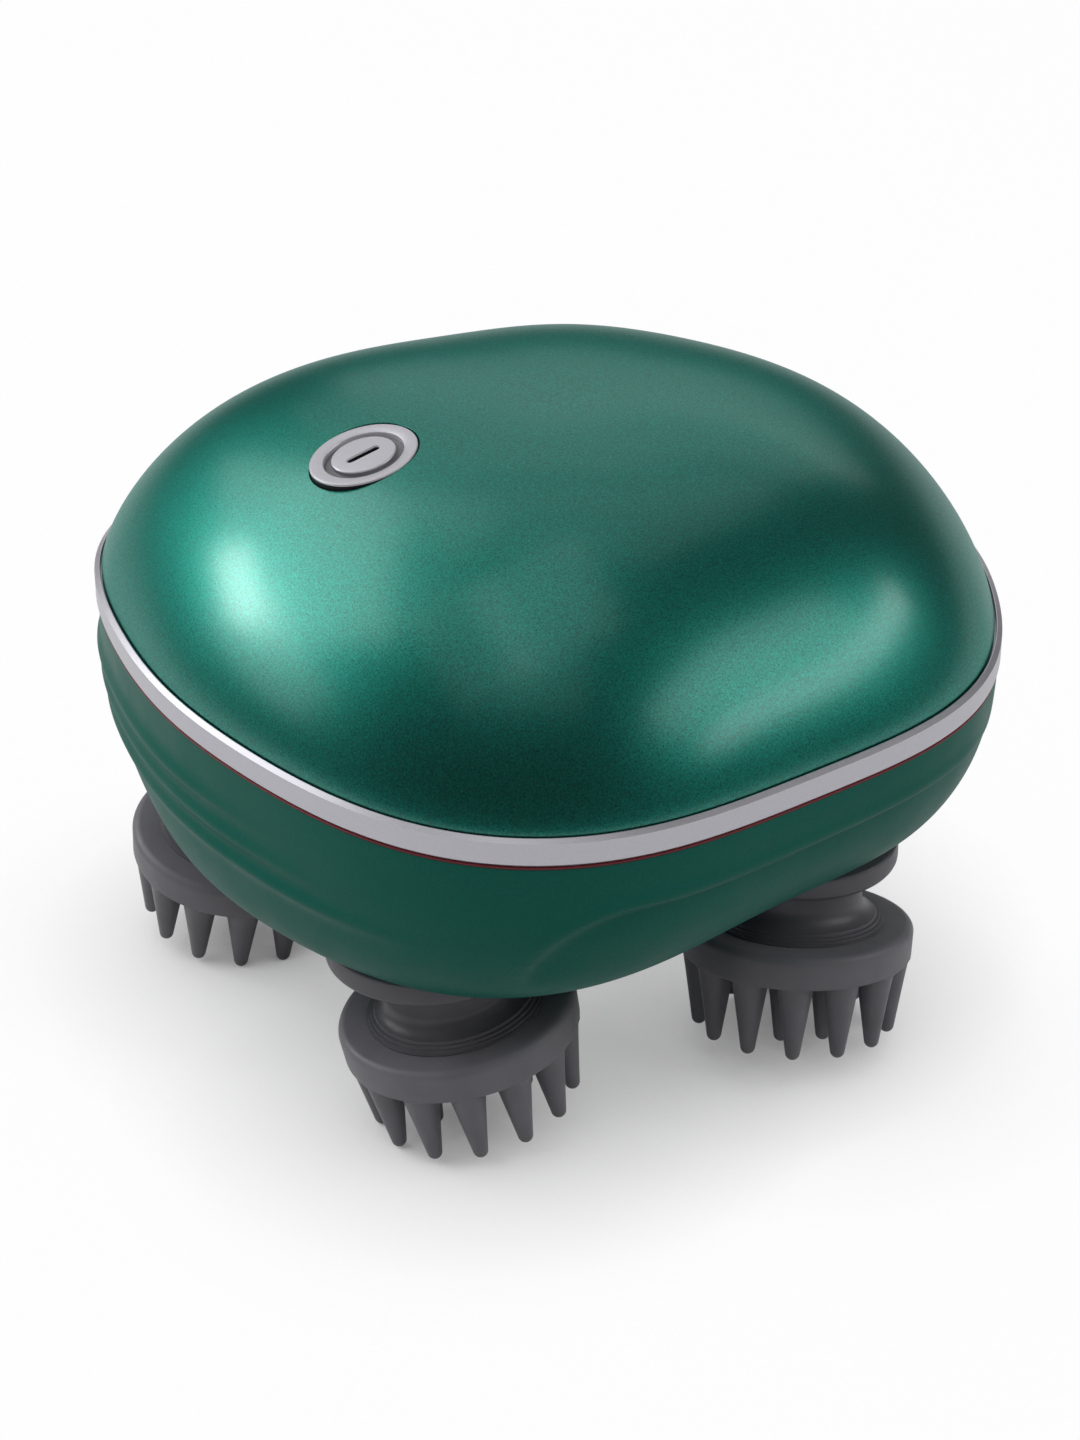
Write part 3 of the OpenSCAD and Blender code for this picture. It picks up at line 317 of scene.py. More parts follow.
def crease_inset(a, depth):
    """How far the shell's face is drawn in below the thumb crease."""
    start = CREASE_PATH[:-1]
    step = CREASE_PATH[1:] - start
    p = np.stack([a, np.full_like(a, depth)], 1)[:, None, :] - start[None]
    share = np.clip((p * step).sum(2) / (step * step).sum(1), 0, 1)
    gap = p - share[..., None] * step
    distance = np.hypot(gap[..., 0], gap[..., 1])
    nearest = distance.argmin(1)
    rows = np.arange(len(a))
    side = step[nearest, 0] * gap[rows, nearest, 1] - step[nearest, 1] * gap[rows, nearest, 0]
    d = np.where(side < 0, distance[rows, nearest], -distance[rows, nearest])
    drop = smooth_step(d, *CREASE_EDGE) * np.exp(-np.maximum(d, 0) / CREASE_FADE)
    lip = CREASE_LIP * np.exp(-(((d - CREASE_LIP_PLACE) / CREASE_LIP_WIDTH) ** 2))
    ends = smooth_step(a, *CREASE_LEFT) * (1 - smooth_step(a, *CREASE_RIGHT))
    low = 1 - smooth_step(np.full_like(a, depth), *CREASE_LOW)
    return (CREASE_STEP * drop - lip) * ends * low


def ridge_inset(a, depth):
    """Finger ridges, as a negative pull-in."""
    turned = np.mod(a, 360)
    rise = smooth_step(turned, RIDGE_START - RIDGE_RISE, RIDGE_START + RIDGE_RISE)
    first, last = RIDGE_FADE_SPAN
    total = np.zeros_like(a)
    for level, fade in zip(RIDGE_DEPTHS, RIDGE_FADES):
        window = rise * (1 - smooth_step(turned, fade + first, fade + last))
        total += RIDGE_HEIGHT * window * np.exp(-(((depth - level) / RIDGE_WIDTH) ** 2))
    return -total


def belly_ring(t, thick, count):
    """Level of the lower shell; t runs from 0 at the rim to 90 degrees at the flat."""
    a = angles(count)
    share = 1 - math.cos(math.radians(t)) ** (2 / BELLY_FULLNESS)
    drop = LOWER_TOP - SHELL_Z - thick
    z = LOWER_TOP - drop * math.sin(math.radians(t)) ** (2 / BELLY_UPRIGHT)
    r = outline_r(a) - LOWER_INSET - thick - tuck(a) * share
    if not thick:
        degrees = np.degrees(np.mod(a + math.pi, 2 * math.pi) - math.pi)
        r = r - crease_inset(degrees, LOWER_TOP - z) - ridge_inset(degrees, LOWER_TOP - z)
    return np.stack([OUTLINE_X + r * np.cos(a), r * np.sin(a), np.full(count, z)], 1)


# Mesh helpers
def new_object(name, points, faces, smooth_angle=30):
    mesh = bpy.data.meshes.new(name)
    mesh.from_pydata((np.asarray(points, float) * MM).tolist(), [], faces)
    mesh.validate()
    made = bpy.data.objects.new(name, mesh)
    bpy.context.scene.collection.objects.link(made)
    shade(made, smooth_angle)
    return made


def shade(made, smooth_angle):
    """Smooth shading with sharp edges where faces meet at more than the angle."""
    bm = bmesh.new()
    bm.from_mesh(made.data)
    bmesh.ops.recalc_face_normals(bm, faces=bm.faces)
    limit = math.radians(smooth_angle)
    for face in bm.faces:
        face.smooth = True
    for edge in bm.edges:
        edge.smooth = len(edge.link_faces) == 2 and edge.calc_face_angle(0) < limit
    bm.to_mesh(made.data)
    bm.free()


def quads_between(first, second, count):
    """Faces of the strip between two rings, given as the number of each ring."""
    faces = []
    for i in range(count):
        k = (i + 1) % count
        faces.append((first * count + i, first * count + k, second * count + k, second * count + i))
    return faces


def loft(rings):
    """Points and faces of a skin through rings of equal count, with ends closed by a fan."""
    n = len(rings[0])
    points = np.concatenate(rings)
    faces = []
    for j in range(len(rings) - 1):
        faces += quads_between(j, j + 1, n)
    for ring in (0, len(rings) - 1):
        middle = len(points)
        points = np.concatenate([points, [rings[ring].mean(0)]])
        faces += [(middle, ring * n + i, ring * n + (i + 1) % n) for i in range(n)]
    return points, faces


def closed_skin(rings):
    """Points and faces of a ring-shaped solid: the last ring joins the first."""
    faces = []
    for j in range(len(rings)):
        faces += quads_between(j, (j + 1) % len(rings), len(rings[0]))
    return np.concatenate(rings), faces


def lathe(profile, count, matrix):
    """Points and faces of a solid of revolution; the profile runs from axis to axis."""
    a = angles(count)
    points, faces, rows = [], [], []
    for r, z in profile:
        if r < 1e-6:
            rows.append([len(points)] * count)
            points.append((0, 0, z))
        else:
            rows.append(list(range(len(points), len(points) + count)))
            points += [(r * math.cos(t), r * math.sin(t), z) for t in a]
    for low, high in zip(rows, rows[1:]):
        for i in range(count):
            k = (i + 1) % count
            corner = [low[i], low[k], high[k], high[i]]
            face = [c for j, c in enumerate(corner) if c != corner[j - 1]]
            if len(face) > 2:
                faces.append(tuple(face))
    return [matrix @ Vector(p) for p in points], faces


def rod(radius, low, high):
    """Profile of a plain round cutter."""
    return [(0, low), (radius, low), (radius, high), (0, high)]


def arc(cx, cz, radius, start, end, steps):
    """Points of a profile's round stretch."""
    turns = np.radians(np.linspace(start, end, steps + 1))
    return [(cx + radius * math.cos(t), cz + radius * math.sin(t)) for t in turns]


def combine(made, others, operation, solver="EXACT"):
    """Boolean of one object with others, which are used up."""
    for other in others:
        step = made.modifiers.new("combine", "BOOLEAN")
        step.operation = operation
        step.solver = solver
        step.object = other
    view = bpy.context.evaluated_depsgraph_get()
    mesh = bpy.data.meshes.new_from_object(made.evaluated_get(view))
    made.modifiers.clear()
    made.data = mesh
    for other in others:
        bpy.data.objects.remove(other)


def finish_piece(made, body, slot, material, *nodes):
    """Puts a piece on its body, in place of the frame's nodes."""
    made.data.materials.clear()
    made.data.materials.append(material)
    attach(made, body)
    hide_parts(*nodes)


# Materials
class Finish:
    """A Principled material with short ways to add procedural detail."""

    def __init__(self, name, color, roughness, metallic=0.0, **sockets):
        self.material = bpy.data.materials.new(name)
        self.material.use_nodes = True
        self.tree = self.material.node_tree
        self.shader = self.tree.nodes["Principled BSDF"]
        self.color = color
        self.set("Base Color", (*color, 1))
        self.set("Roughness", roughness)
        self.set("Metallic", metallic)
        for socket, value in sockets.items():
            self.set(socket.replace("_", " "), value)
        self.place = self.tree.nodes.new("ShaderNodeTexCoord").outputs["Object"]

    def set(self, socket, value):
        self.shader.inputs[socket].default_value = value

    def link(self, source, socket):
        self.tree.links.new(source, self.shader.inputs[socket])

    def noise(self, grain, detail=2.0, stretch=None):
        """Noise whose features measure about grain millimetres."""
        place = self.place
        if stretch:
            mapping = self.tree.nodes.new("ShaderNodeMapping")
            mapping.inputs["Scale"].default_value = stretch
            self.tree.links.new(place, mapping.inputs["Vector"])
            place = mapping.outputs["Vector"]
        node = self.tree.nodes.new("ShaderNodeTexNoise")
        node.inputs["Scale"].default_value = 1 / (grain * MM)
        node.inputs["Detail"].default_value = detail
        self.tree.links.new(place, node.inputs["Vector"])
        return node.outputs["Fac"]

    def ramp(self, source, low, high, start=0.3, end=0.7):
        """Maps a texture to colours or greys."""
        node = self.tree.nodes.new("ShaderNodeValToRGB")
        first, last = node.color_ramp.elements
        first.position, last.position = start, end
        first.color = (*low, 1) if hasattr(low, "__len__") else (low, low, low, 1)
        last.color = (*high, 1) if hasattr(high, "__len__") else (high, high, high, 1)
        self.tree.links.new(source, node.inputs["Fac"])
        return node.outputs["Color"]

    def facing(self, front, side, start, end):
        """Value that goes from front, where the face looks this way, to side at grazing angles."""
        node = self.tree.nodes.new("ShaderNodeLayerWeight")
        node.inputs["Blend"].default_value = 0.5
        return self.ramp(node.outputs["Facing"], front, side, start, end)

    def roughen(self, source, low, high):
        self.link(self.ramp(source, low, high), "Roughness")

    def bump(self, source, height, strength=0.5):
        """Bump of a height in millimetres."""
        node = self.tree.nodes.new("ShaderNodeBump")
        node.inputs["Strength"].default_value = strength
        node.inputs["Distance"].default_value = height * MM
        self.tree.links.new(source, node.inputs["Height"])
        self.link(node.outputs["Normal"], "Normal")

    def tint(self, source, spread, start=0.3, end=0.7):
        """Varies the base colour by a share up and down."""
        low = [c * (1 - spread) for c in self.color]
        high = [min(1, c * (1 + spread)) for c in self.color]
        self.link(self.ramp(source, low, high, start, end), "Base Color")


def dome_paint():
    """Metallic green with fine flakes under a clear coat."""
    f = Finish(
        "dome_paint", (0.0068, 0.240, 0.184), 0.40, metallic=1.0, Coat_Weight=1.0, Coat_Roughness=0.22
    )
    f.set("Specular Tint", (0.60, 0.86, 0.82, 1))
    flakes = f.noise(grain=0.22, detail=1.5)
    f.tint(flakes, spread=0.42, start=0.28, end=0.72)
    f.bump(flakes, height=0.02, strength=0.55)
    f.roughen(f.noise(grain=0.35), low=0.36, high=0.45)
    f.link(f.facing(front=1.0, side=0.34, start=0.36, end=0.72), "Coat Weight")
    return f.material


def belly_paint():
    """Satin green."""
    f = Finish("belly_paint", (0.002, 0.116, 0.084), 0.42, Specular_IOR_Level=0.13)
    grain = f.noise(grain=0.25)
    f.tint(grain, spread=0.10)
    f.bump(grain, height=0.006)
    f.roughen(f.noise(grain=6.0, detail=3.0), low=0.38, high=0.46)
    return f.material


def silver_trim():
    f = Finish("silver_trim", (0.62, 0.61, 0.66), 0.34, metallic=0.72)
    grain = f.noise(grain=0.3)
    f.tint(grain, spread=0.03)
    f.roughen(grain, low=0.30, high=0.38)
    f.bump(grain, height=0.003, strength=0.4)
    return f.material


def button_metal():
    f = Finish("button_metal", (0.63, 0.62, 0.67), 0.38, metallic=0.45)
    grain = f.noise(grain=0.25)
    f.tint(grain, spread=0.04)
    f.bump(grain, height=0.004, strength=0.4)
    f.roughen(f.noise(grain=0.6), low=0.34, high=0.42)
    return f.material


def soft_silicone():
    f = Finish("grey_silicone", (0.168, 0.163, 0.182), 0.46, Sheen_Weight=0.12, Sheen_Roughness=0.4)
    f.tint(f.noise(grain=5.0, detail=3.0), spread=0.07)
    f.bump(f.noise(grain=0.2, detail=3.0), height=0.006)
    f.roughen(f.noise(grain=2.0, detail=3.0), low=0.41, high=0.51)
    return f.material


def seal_rubber():
    f = Finish("red_seal", (0.15, 0.004, 0.010), 0.5)
    f.tint(f.noise(grain=1.0), spread=0.12)
    f.roughen(f.noise(grain=0.5), low=0.44, high=0.56)
    return f.material


def board_mask():
    """Green lacquer with lighter tracks."""
    f = Finish("circuit_board", (0.012, 0.14, 0.05), 0.35)
    tracks = f.noise(grain=0.9, detail=0.0, stretch=(1, 4, 1))
    lacquer = f.ramp(tracks, low=(0.008, 0.10, 0.035), high=(0.03, 0.22, 0.09), start=0.48, end=0.52)
    f.link(lacquer, "Base Color")
    f.bump(tracks, height=0.03)
    return f.material


def hard_plastic(name, color, roughness):
    """Moulded plastic with a fine grain."""
    f = Finish(name, color, roughness)
    f.tint(f.noise(grain=4.0), spread=0.06)
    f.bump(f.noise(grain=0.18), height=0.008)
    f.roughen(f.noise(grain=1.5), low=roughness - 0.05, high=roughness + 0.05)
    return f.material


def metal(name, color, roughness):
    """Bare metal with grain drawn out along Z."""
    f = Finish(name, color, roughness, metallic=1.0)
    grain = f.noise(grain=0.3, detail=3.0, stretch=(1, 1, 8))
    f.tint(grain, spread=0.06)
    f.roughen(grain, low=roughness - 0.06, high=roughness + 0.08)
    f.bump(grain, height=0.004)
    return f.material


# Plain plastics and metals: colour and roughness
PLASTICS = {
    "grey_plastic": ((0.10, 0.098, 0.11), 0.40),
    "black_plastic": ((0.012, 0.012, 0.014), 0.45),
    "gear_plastic": ((0.72, 0.70, 0.64), 0.40),
    "cell_sleeve": ((0.03, 0.09, 0.28), 0.30),
    "light_bar": ((0.02, 0.02, 0.025), 0.25),
    # Darker grey for the cap's groove: painted shade in the recess.
    "groove_painted_shade": ((0.19, 0.185, 0.20), 0.42),
}
METALS = {
    "steel": ((0.60, 0.61, 0.63), 0.30),
    "bronze": ((0.60, 0.38, 0.18), 0.38),
    "gold_contact": ((0.83, 0.62, 0.22), 0.25),
}
MATERIALS = {
    "dome_paint": dome_paint(),
    "belly_paint": belly_paint(),
    "silver_trim": silver_trim(),
    "button_metal": button_metal(),
    "red_seal": seal_rubber(),
    "grey_silicone": soft_silicone(),
    "circuit_board": board_mask(),
    **{name: hard_plastic(name, *look) for name, look in PLASTICS.items()},
    **{name: metal(name, *look) for name, look in METALS.items()},
}


def dress_nodes():
    """Gives the frame's own pieces the finishes of their slots."""
    slots = {part["node"]: part["material_slot"] for part in frame["record"]["subparts"]}
    for node, made in frame["nodes"].items():
        made.data.materials.clear()
        made.data.materials.append(MATERIALS[slots[node]])


# Upper shell: outer and inner faces, joined at the seat in the band
def make_dome():
    levels = np.concatenate([np.linspace(0, 60, 61), np.linspace(61.5, 88.5, 19)])
    foot = dome_ring(0, 0, BODY_STEPS)
    foot[:, 2] = DOME_SEAT
    inner_foot = dome_ring(0, WALL, BODY_STEPS)
    inner_foot[:, 2] = DOME_SEAT
    inner = [dome_ring(t, WALL, BODY_STEPS) for t in np.linspace(85, 0, 18)]
    outer = [dome_ring(t, 0, BODY_STEPS) for t in levels]
    dome = new_object("upper_shell", *loft([*inner, inner_foot, foot, *outer]))
    bore = BEZEL_RADIUS + BEZEL_GAP
    mouth = bore + BORE_MOUTH
    low, high = BORE_CUT
    bevel_low, bevel_high = BORE_BEVEL
    profile = [(0, low), (bore, low), (bore, bevel_low), (mouth, bevel_high), (mouth, high), (0, high)]
    combine(dome, [new_object("cutter", *lathe(profile, 128, BUTTON_FRAME))], "DIFFERENCE")
    shade(dome, 40)
    finish_piece(dome, "housing", "dome_paint", MATERIALS["dome_paint"], "top_shell")


# Trim band and seal, swept round the outline
def make_band():
    inside = DOME_INSET - SHADOW_GAP
    chamfer_in, chamfer_down = BAND_CHAMFER
    brink_in, brink_down = BAND_BRINK
    profile = [
        (BAND_DEPTH, BAND_Z),
        (BAND_BEVEL, BAND_Z),
        (0.0, BAND_Z + BAND_BEVEL),
        (0.0, BAND_TOP - chamfer_down),
        (chamfer_in, BAND_TOP),
        (inside - brink_in, BAND_TOP),
        (inside, BAND_TOP - brink_down),
        (inside, DOME_SEAT),
        (BAND_DEPTH, DOME_SEAT),
    ]
    rings = [outline_ring(inset, z, BODY_STEPS) for inset, z in profile]
    band = new_object("trim_band_ring", *closed_skin(rings), 25)
    finish_piece(band, "housing", "silver_trim", MATERIALS["silver_trim"], "trim_band")


def make_seal():
    back = LOWER_INSET + WALL
    edge = LOWER_INSET + SEAL_EDGE
    proud = LOWER_INSET - SEAL_PROUD
    profile = [
        (back, LOWER_TOP),
        (edge, LOWER_TOP),
        (proud, LOWER_TOP + SEAL_ROUND),
        (proud, BAND_Z - SEAL_ROUND),
        (edge, BAND_Z),
        (back, BAND_Z),
    ]
    rings = [outline_ring(inset, z, BODY_STEPS) for inset, z in profile]
    seal = new_object("seal_ring", *closed_skin(rings), 50)
    finish_piece(seal, "housing", "red_seal", MATERIALS["red_seal"], "parting_seal")


# Lower shell with grip ridges, rotor recesses, plug holes and the socket's hole
def make_belly():
    levels = np.concatenate([np.arange(0, 46, 0.6), np.arange(46.5, 89.6, 1.4)])
    outer = [belly_ring(t, 0, BELLY_STEPS) for t in levels]
    inner = [belly_ring(t, WALL, BELLY_STEPS) for t in np.linspace(88, 0, 24)]
    belly = new_object("lower_shell_skin", *loft([*inner, *outer]))
    cutters = []
    recess = ROTOR_RADIUS + RECESS_GAP
    roof = ROTOR_Z + ROTOR_HEIGHT + RECESS_GAP
    low = SHELL_Z + RECESS_CUT[0]
    high = roof + RECESS_CUT[1]
    for axis in HEAD_AXES:
        profile = [(0, low), (recess, low), (recess, roof)]
        profile += [(SHAFT_BORE, roof), (SHAFT_BORE, high), (0, high)]
        place = Matrix.Translation((axis.x, axis.y, 0))
        cutters.append(new_object("cutter", *lathe(profile, 128, place)))
    for angle, inset in COLUMN_SPOTS:
        a = math.radians(angle)
        r = float(outline_r(a)) - inset
        place = Matrix.Translation((OUTLINE_X + r * math.cos(a), r * math.sin(a), 0))
        plug = rod(PLUG_RADIUS, SHELL_Z + PLUG_CUT[0], SHELL_Z + PLUG_CUT[1])
        cutters.append(new_object("cutter", *lathe(plug, 64, place)))
    place = Matrix.Translation((corners("charge_socket")[0].x, 0, BAND_Z - SOCKET_BELOW))
    socket = place @ Matrix.Rotation(math.pi / 2, 4, "Y")
    cutters.append(new_object("cutter", *lathe(rod(SOCKET_RADIUS, *SOCKET_CUT), 96, socket)))
    combine(belly, cutters, "DIFFERENCE")
    shade(belly, 40)
    finish_piece(belly, "housing", "belly_paint", MATERIALS["belly_paint"], "lower_shell")


# Rotating heads
def head_frame(i):
    axis = HEAD_AXES[i]
    lean = math.radians(HEAD_PHASES[i])
    place = (axis.x + POST_OFFSET * math.cos(lean), axis.y + POST_OFFSET * math.sin(lean), ROTOR_Z)
    turn = Matrix.Rotation(lean, 4, "Z") @ Matrix.Rotation(-math.radians(HEAD_TILT), 4, "Y")
    return Matrix.Translation(place) @ turn


def pad_profile():
    """Closed section of the pad: dished top, round shoulder, upright rim and flat underside."""
    top = -NECK_LENGTH
    floor = top - PAD_DISH
    wall = PAD_LIP - PAD_DISH
    seat = [(0, floor), (wall, floor), (wall, top - PAD_DISH_EDGE), (PAD_LIP, top)]
    shoulder = arc(HEAD_RADIUS - PAD_SHOULDER, top - PAD_SHOULDER, PAD_SHOULDER, 90, 8, 8)
    low = arc(HEAD_RADIUS - PAD_TAPER - PAD_EDGE, -PAD_BOTTOM + PAD_EDGE, PAD_EDGE, 0, -90, 4)
    return [*seat, *shoulder, *low, (0, -PAD_BOTTOM)]


def tooth_profile(root):
    """Section of a tooth that hangs from z = 0, with a small flare at its root."""
    sunk = 0.6
    end = TOOTH_LENGTH - TOOTH_TIP
    flare = [(root + out, z) for out, z in TOOTH_FLARE]
    start = flare[-1][1]
    side = []
    for u in (0.25, 0.5, 0.75):
        side.append((root * (1 - u) + TOOTH_TIP * u, start - (end + start) * u))
    turns = np.radians(np.linspace(8, 90, 8))
    tip = [(TOOTH_TIP * math.cos(t), -end - TOOTH_TIP * math.sin(t)) for t in turns]
    return [(0, sunk), (flare[0][0], sunk), *flare, *side, *tip[:-1], (0, -TOOTH_LENGTH)]


def make_pad(i):
    matrix = head_frame(i)
    pad = new_object(f"pad_{i + 1}", *lathe(pad_profile(), HEAD_STEPS, matrix))
    turn = Matrix.Rotation(math.radians(PAD_TURNS[i]), 4, "Z")
    teeth = []
    for count, ring, root, first in (
        (OUTER_TEETH, OUTER_RING, TOOTH_ROOT, 180),
        (INNER_TEETH, INNER_RING, TOOTH_ROOT * INNER_SHARE, 0),
    ):
        for k in range(count):
            a = math.radians(first + k * 360 / count)
            place = Matrix.Translation((ring * math.cos(a), ring * math.sin(a), -PAD_BOTTOM))
            teeth.append(new_object("tooth", *lathe(tooth_profile(root), 28, matrix @ turn @ place)))
    combine(pad, teeth, "UNION", "MANIFOLD")
    shade(pad, 38)
    finish_piece(
        pad, f"head_{i + 1}", "grey_silicone", MATERIALS["grey_silicone"], f"head_pad_{i + 1}"
    )


def hub_profile():
    """Neck that flares into three fine concentric steps above the pad."""
    foot = -NECK_LENGTH + NECK_FOOT
    bottom = -NECK_LENGTH - PAD_DISH
    neck = [(0, NECK_TOP), (NECK_RADIUS, NECK_TOP), (NECK_RADIUS, NECK_STRAIGHT)]
    flare = []
    for t in np.radians(np.linspace(0, 78, 12)):
        out = NECK_FILLET * (1 - math.cos(t))
        up = NECK_FILLET * (1 - math.sin(t))
        flare.append((NECK_RADIUS + out, foot + up))
    r, z = flare[-1]
    steps = []
    for k in range(3):
        steps += [(r + out + k * STEP_OUT, z + up - k * STEP_DOWN) for out, up in STEP_CORNERS]
    return [*neck, *flare, *steps, (steps[-1][0], bottom), (0, bottom)]


def make_hub(i):
    """Leaning neck whose top points are slid along its lean to one level, just inside the rotor."""
    matrix = head_frame(i)
    points, faces = lathe(hub_profile(), HEAD_STEPS, matrix)
    axis = (matrix.to_3x3() @ Vector((0, 0, 1))).normalized()
    for k, p in enumerate(points):
        if p.z > ROTOR_Z - HUB_LEVELLED:
            points[k] = p - axis * ((p.z - ROTOR_Z - HUB_SUNK) / axis.z)
    hub = new_object(f"hub_{i + 1}", points, faces, 24)
    finish_piece(
        hub, f"head_{i + 1}", "grey_plastic", MATERIALS["grey_plastic"], f"head_hub_{i + 1}"
    )


def make_rotor(i):
    top = corners(f"rotor_{i + 1}")[1].z - ROTOR_Z
    low, high = ROTOR_LOW_ROUND, ROTOR_TOP_ROUND
    profile = [(0, 0), *arc(ROTOR_RADIUS - low, low, low, -90, 0, 6)]
    profile += arc(ROTOR_RADIUS - high, ROTOR_HEIGHT - high, high, 0, 90, 4)
    profile += [(ROTOR_BOSS, ROTOR_HEIGHT), (ROTOR_BOSS, top), (0, top)]
    axis = HEAD_AXES[i]
    place = Matrix.Translation((axis.x, axis.y, ROTOR_Z))
    rotor = new_object(f"collar_{i + 1}", *lathe(profile, HEAD_STEPS, place))
    finish_piece(
        rotor, f"head_{i + 1}", "grey_plastic", MATERIALS["grey_plastic"], f"rotor_{i + 1}"
    )


# Push button: bezel ring, cap with a raised disc, and the dark window in it, with painted shade in the window, the
# groove and the gap round the bezel
def stadium(length, width, low, high, bevel):
    """Upright prism with round ends, wider by the bevel at its top."""
    rings = []
    for z, extra in ((low, 0.0), (high - 0.18, 0.0), (high, bevel), (high + 0.5, bevel)):
        ring = []
        r = width / 2 + extra
        for side in (1, -1):
            for t in np.radians(np.linspace(-90, 90, 10)):
                x = side * ((length - width) / 2 + r * math.cos(t))
                ring.append((x, side * r * math.sin(t), z))
        rings.append(np.array([BUTTON_FRAME @ Vector(p) for p in ring]))
    return loft(rings)


def paint_shade(made, material, chosen):
    """Gives painted shade to the faces whose place in the button's frame is chosen: a darker material stands in
    for shade there.
    """
    made.data.materials.append(material)
    back = BUTTON_FRAME.inverted()
    for face in made.data.polygons:
        spot = back @ (face.center / MM)
        if chosen(spot, math.hypot(spot.x, spot.y)):
            face.material_index = len(made.data.materials) - 1


def make_bezel():
    edge = BEZEL_PROUD - BEZEL_ROUND
    profile = [
        (BEZEL_BORE, BEZEL_BASE),
        (BEZEL_RADIUS, BEZEL_BASE),
        (BEZEL_RADIUS, edge),
        *arc(BEZEL_RADIUS - BEZEL_ROUND, edge, BEZEL_ROUND, 0, 90, 4),
        *[(BEZEL_BORE + out, BEZEL_PROUD + up) for out, up in BEZEL_INNER],
    ]
    rings = []
    for r, z in profile:
        points = [Vector((r * math.cos(t), r * math.sin(t), z)) for t in angles(160)]
        rings.append(np.array([BUTTON_FRAME @ p for p in points]))
    ring = new_object("bezel_ring", *closed_skin(rings), 30)
    finish_piece(ring, "housing", "silver_trim", MATERIALS["button_metal"], "button_bezel")
    # Painted shade: black on the bezel's outer side stands in for the shadow in the gap round the bezel.
    paint_shade(ring, MATERIALS["black_plastic"], lambda p, r: p.z < edge and r > BEZEL_RADIUS - 0.05)


def make_cap():
    wall = BEZEL_BORE - RUNNING_GAP
    flange = BEZEL_BORE + FLANGE_REACH
    edge = CAP_TOP - CAP_ROUND
    profile = [
        (0, STEM_END),
        (STEM_RADIUS, STEM_END),
        (STEM_RADIUS, FLANGE_LOW),
        (flange, FLANGE_LOW),
        (flange, FLANGE_TOP),
        (wall, FLANGE_TOP),
        (wall, GROOVE_FLOOR),
        (CAP_RADIUS + GROOVE_FILLET, GROOVE_FLOOR),
        (CAP_RADIUS, GROOVE_FLOOR + GROOVE_FILLET),
        (CAP_RADIUS, edge),
        *arc(CAP_RADIUS - CAP_ROUND, edge, CAP_ROUND, 0, 90, 5),
        (0, CAP_TOP),
    ]
    disc = new_object("cap_disc", *lathe(profile, 128, BUTTON_FRAME), 30)
    window = stadium(BAR_LENGTH, BAR_WIDTH, GROOVE_FLOOR - 0.6, CAP_TOP, BAR_BEVEL)
    combine(disc, [new_object("cutter", *window)], "DIFFERENCE")
    shade(disc, 30)
    finish_piece(disc, "button", "silver_trim", MATERIALS["button_metal"], "button_cap")
    sunk = CAP_TOP - 0.1
    half_bar = BAR_LENGTH / 2 + 0.01
    # Painted shade: the groove's floor and walls get a darker grey for the shade in the recess.
    paint_shade(disc, MATERIALS["groove_painted_shade"], lambda p, r: p.z < sunk and r > CAP_RADIUS - 0.01)
    # Painted shade: the window's walls get the light bar's near-black, standing in for the shade in the slot.
    paint_shade(
        disc,
        MATERIALS["light_bar"],
        lambda p, r: p.z < sunk and abs(p.y) < BAR_WIDTH and abs(p.x) < half_bar,
    )


# Floor, room, lamps and camera
def camera_only(tree, shown, hidden):
    """Mixes two shaders: one that the camera sees, and mirrors in part, and one that gives light."""
    path = tree.nodes.new("ShaderNodeLightPath")
    mirrored = tree.nodes.new("ShaderNodeMath")
    mirrored.operation = "MULTIPLY"
    mirrored.inputs[1].default_value = MIRRORED_FLOOR
    tree.links.new(path.outputs["Is Glossy Ray"], mirrored.inputs[0])
    seen = tree.nodes.new("ShaderNodeMath")
    seen.operation = "MAXIMUM"
    tree.links.new(path.outputs["Is Camera Ray"], seen.inputs[0])
    tree.links.new(mirrored.outputs[0], seen.inputs[1])
    mix = tree.nodes.new("ShaderNodeMixShader")
    tree.links.new(seen.outputs[0], mix.inputs[0])
    tree.links.new(hidden, mix.inputs[1])
    tree.links.new(shown, mix.inputs[2])
    return mix.outputs[0]


def floor_paper():
    """Pale paper, lifted towards white for the camera except where the object shades it."""
    material = bpy.data.materials.new("floor_paper")
    material.use_nodes = True
    tree = material.node_tree
    tree.nodes.clear()
    paper = tree.nodes.new("ShaderNodeBsdfDiffuse")
    paper.inputs["Color"].default_value = PAPER
    glow = tree.nodes.new("ShaderNodeEmission")
    glow.inputs["Color"].default_value = WHITE
    nearby = tree.nodes.new("ShaderNodeAmbientOcclusion")
    nearby.inputs["Distance"].default_value = SHADOW_REACH * MM
    share = tree.nodes.new("ShaderNodeMath")
    share.operation = "MULTIPLY"
    share.inputs[1].default_value = FLOOR_LIFT
    tree.links.new(nearby.outputs["AO"], share.inputs[0])
    lift = tree.nodes.new("ShaderNodeMixShader")
    tree.links.new(share.outputs[0], lift.inputs[0])
    tree.links.new(paper.outputs[0], lift.inputs[1])
    tree.links.new(glow.outputs[0], lift.inputs[2])
    out = tree.nodes.new("ShaderNodeOutputMaterial")
    tree.links.new(camera_only(tree, lift.outputs[0], paper.outputs[0]), out.inputs["Surface"])
    return material


def make_floor():
    half = FLOOR_HALF
    points = [(-half, -half, 0), (half, -half, 0), (half, half, 0), (-half, half, 0)]
    floor = new_object("floor", points, [(0, 1, 2, 3)])
    floor.data.materials.append(floor_paper())


def direction(azimuth, elevation):
    a, e = math.radians(azimuth), math.radians(elevation)
    return Vector((math.sin(a) * math.cos(e), -math.cos(a) * math.cos(e), math.sin(e)))


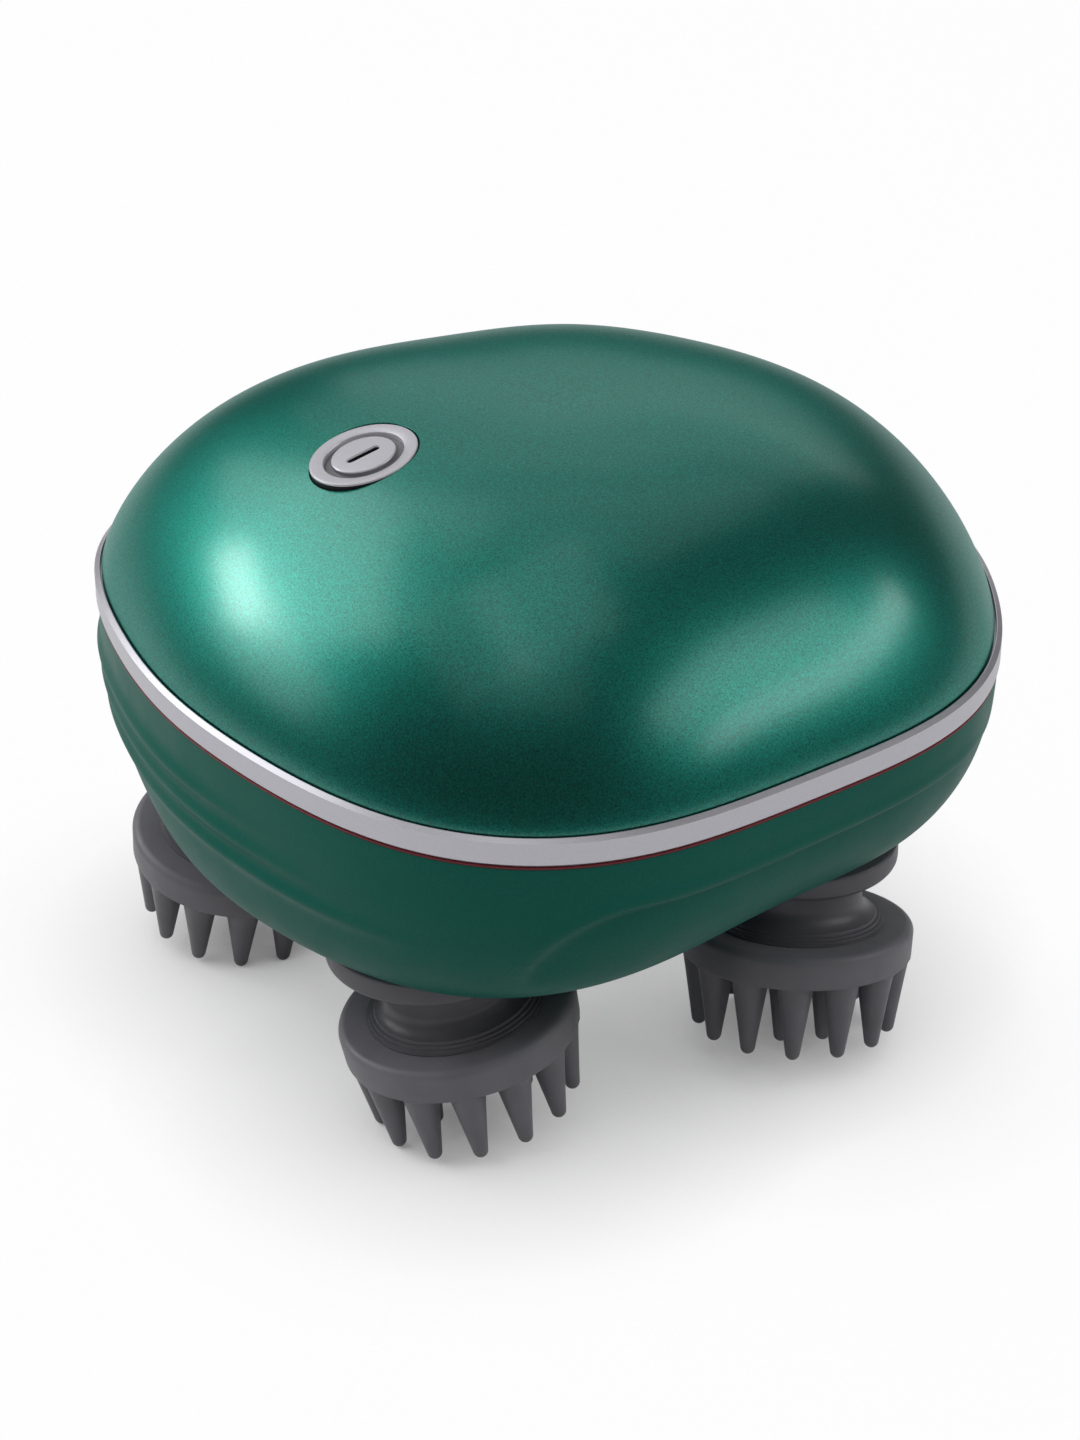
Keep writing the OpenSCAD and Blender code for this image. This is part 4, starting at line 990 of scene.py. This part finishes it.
def make_lamps():
    for name, azimuth, elevation, distance, width, height, watts in LAMPS:
        light = bpy.data.lights.new(name, "AREA")
        light.shape = "RECTANGLE"
        light.size = width * MM
        light.size_y = height * MM
        light.energy = watts
        lamp = bpy.data.objects.new(name, light)
        back = direction(azimuth, elevation)
        lamp.location = (Vector(LAMP_TARGET) + back * distance) * MM
        lamp.rotation_mode = "QUATERNION"
        lamp.rotation_quaternion = back.to_track_quat("Z", "Y")
        lamp.visible_glossy = not name.startswith("fill")
        bpy.context.scene.collection.objects.link(lamp)


def make_world():
    """Dim room light, with a white background for the camera."""
    world = bpy.data.worlds.new("studio")
    bpy.context.scene.world = world
    world.use_nodes = True
    tree = world.node_tree
    tree.nodes.clear()
    room = tree.nodes.new("ShaderNodeBackground")
    room.inputs["Color"].default_value = WHITE
    room.inputs["Strength"].default_value = WORLD_LEVEL
    white = tree.nodes.new("ShaderNodeBackground")
    white.inputs["Color"].default_value = WHITE
    white.inputs["Strength"].default_value = 1.0
    mix = tree.nodes.new("ShaderNodeMixShader")
    path = tree.nodes.new("ShaderNodeLightPath")
    out = tree.nodes.new("ShaderNodeOutputWorld")
    tree.links.new(path.outputs["Is Camera Ray"], mix.inputs[0])
    tree.links.new(room.outputs[0], mix.inputs[1])
    tree.links.new(white.outputs[0], mix.inputs[2])
    tree.links.new(mix.outputs[0], out.inputs["Surface"])


def make_camera():
    data = bpy.data.cameras.new("camera")
    data.sensor_fit = "AUTO"
    data.sensor_width = SENSOR
    data.lens = SENSOR * FOCAL_PIXELS / FRAME_HEIGHT
    data.clip_start = 0.01
    data.clip_end = 50
    camera = bpy.data.objects.new("camera", data)
    camera.location = Vector(CAMERA_PLACE) * MM
    camera.rotation_mode = "QUATERNION"
    camera.rotation_quaternion = direction(CAMERA_AZIMUTH, CAMERA_ELEVATION).to_track_quat("Z", "Y")
    bpy.context.scene.collection.objects.link(camera)
    bpy.context.scene.camera = camera


bpy.context.scene.view_settings.view_transform = "Standard"
make_camera()
make_floor()
make_lamps()
make_world()
dress_nodes()
make_dome()
make_band()
make_seal()
make_belly()
make_bezel()
make_cap()
for head in range(len(HEAD_AXES)):
    make_rotor(head)
    make_hub(head)
    make_pad(head)

bpy.context.view_layer.update()
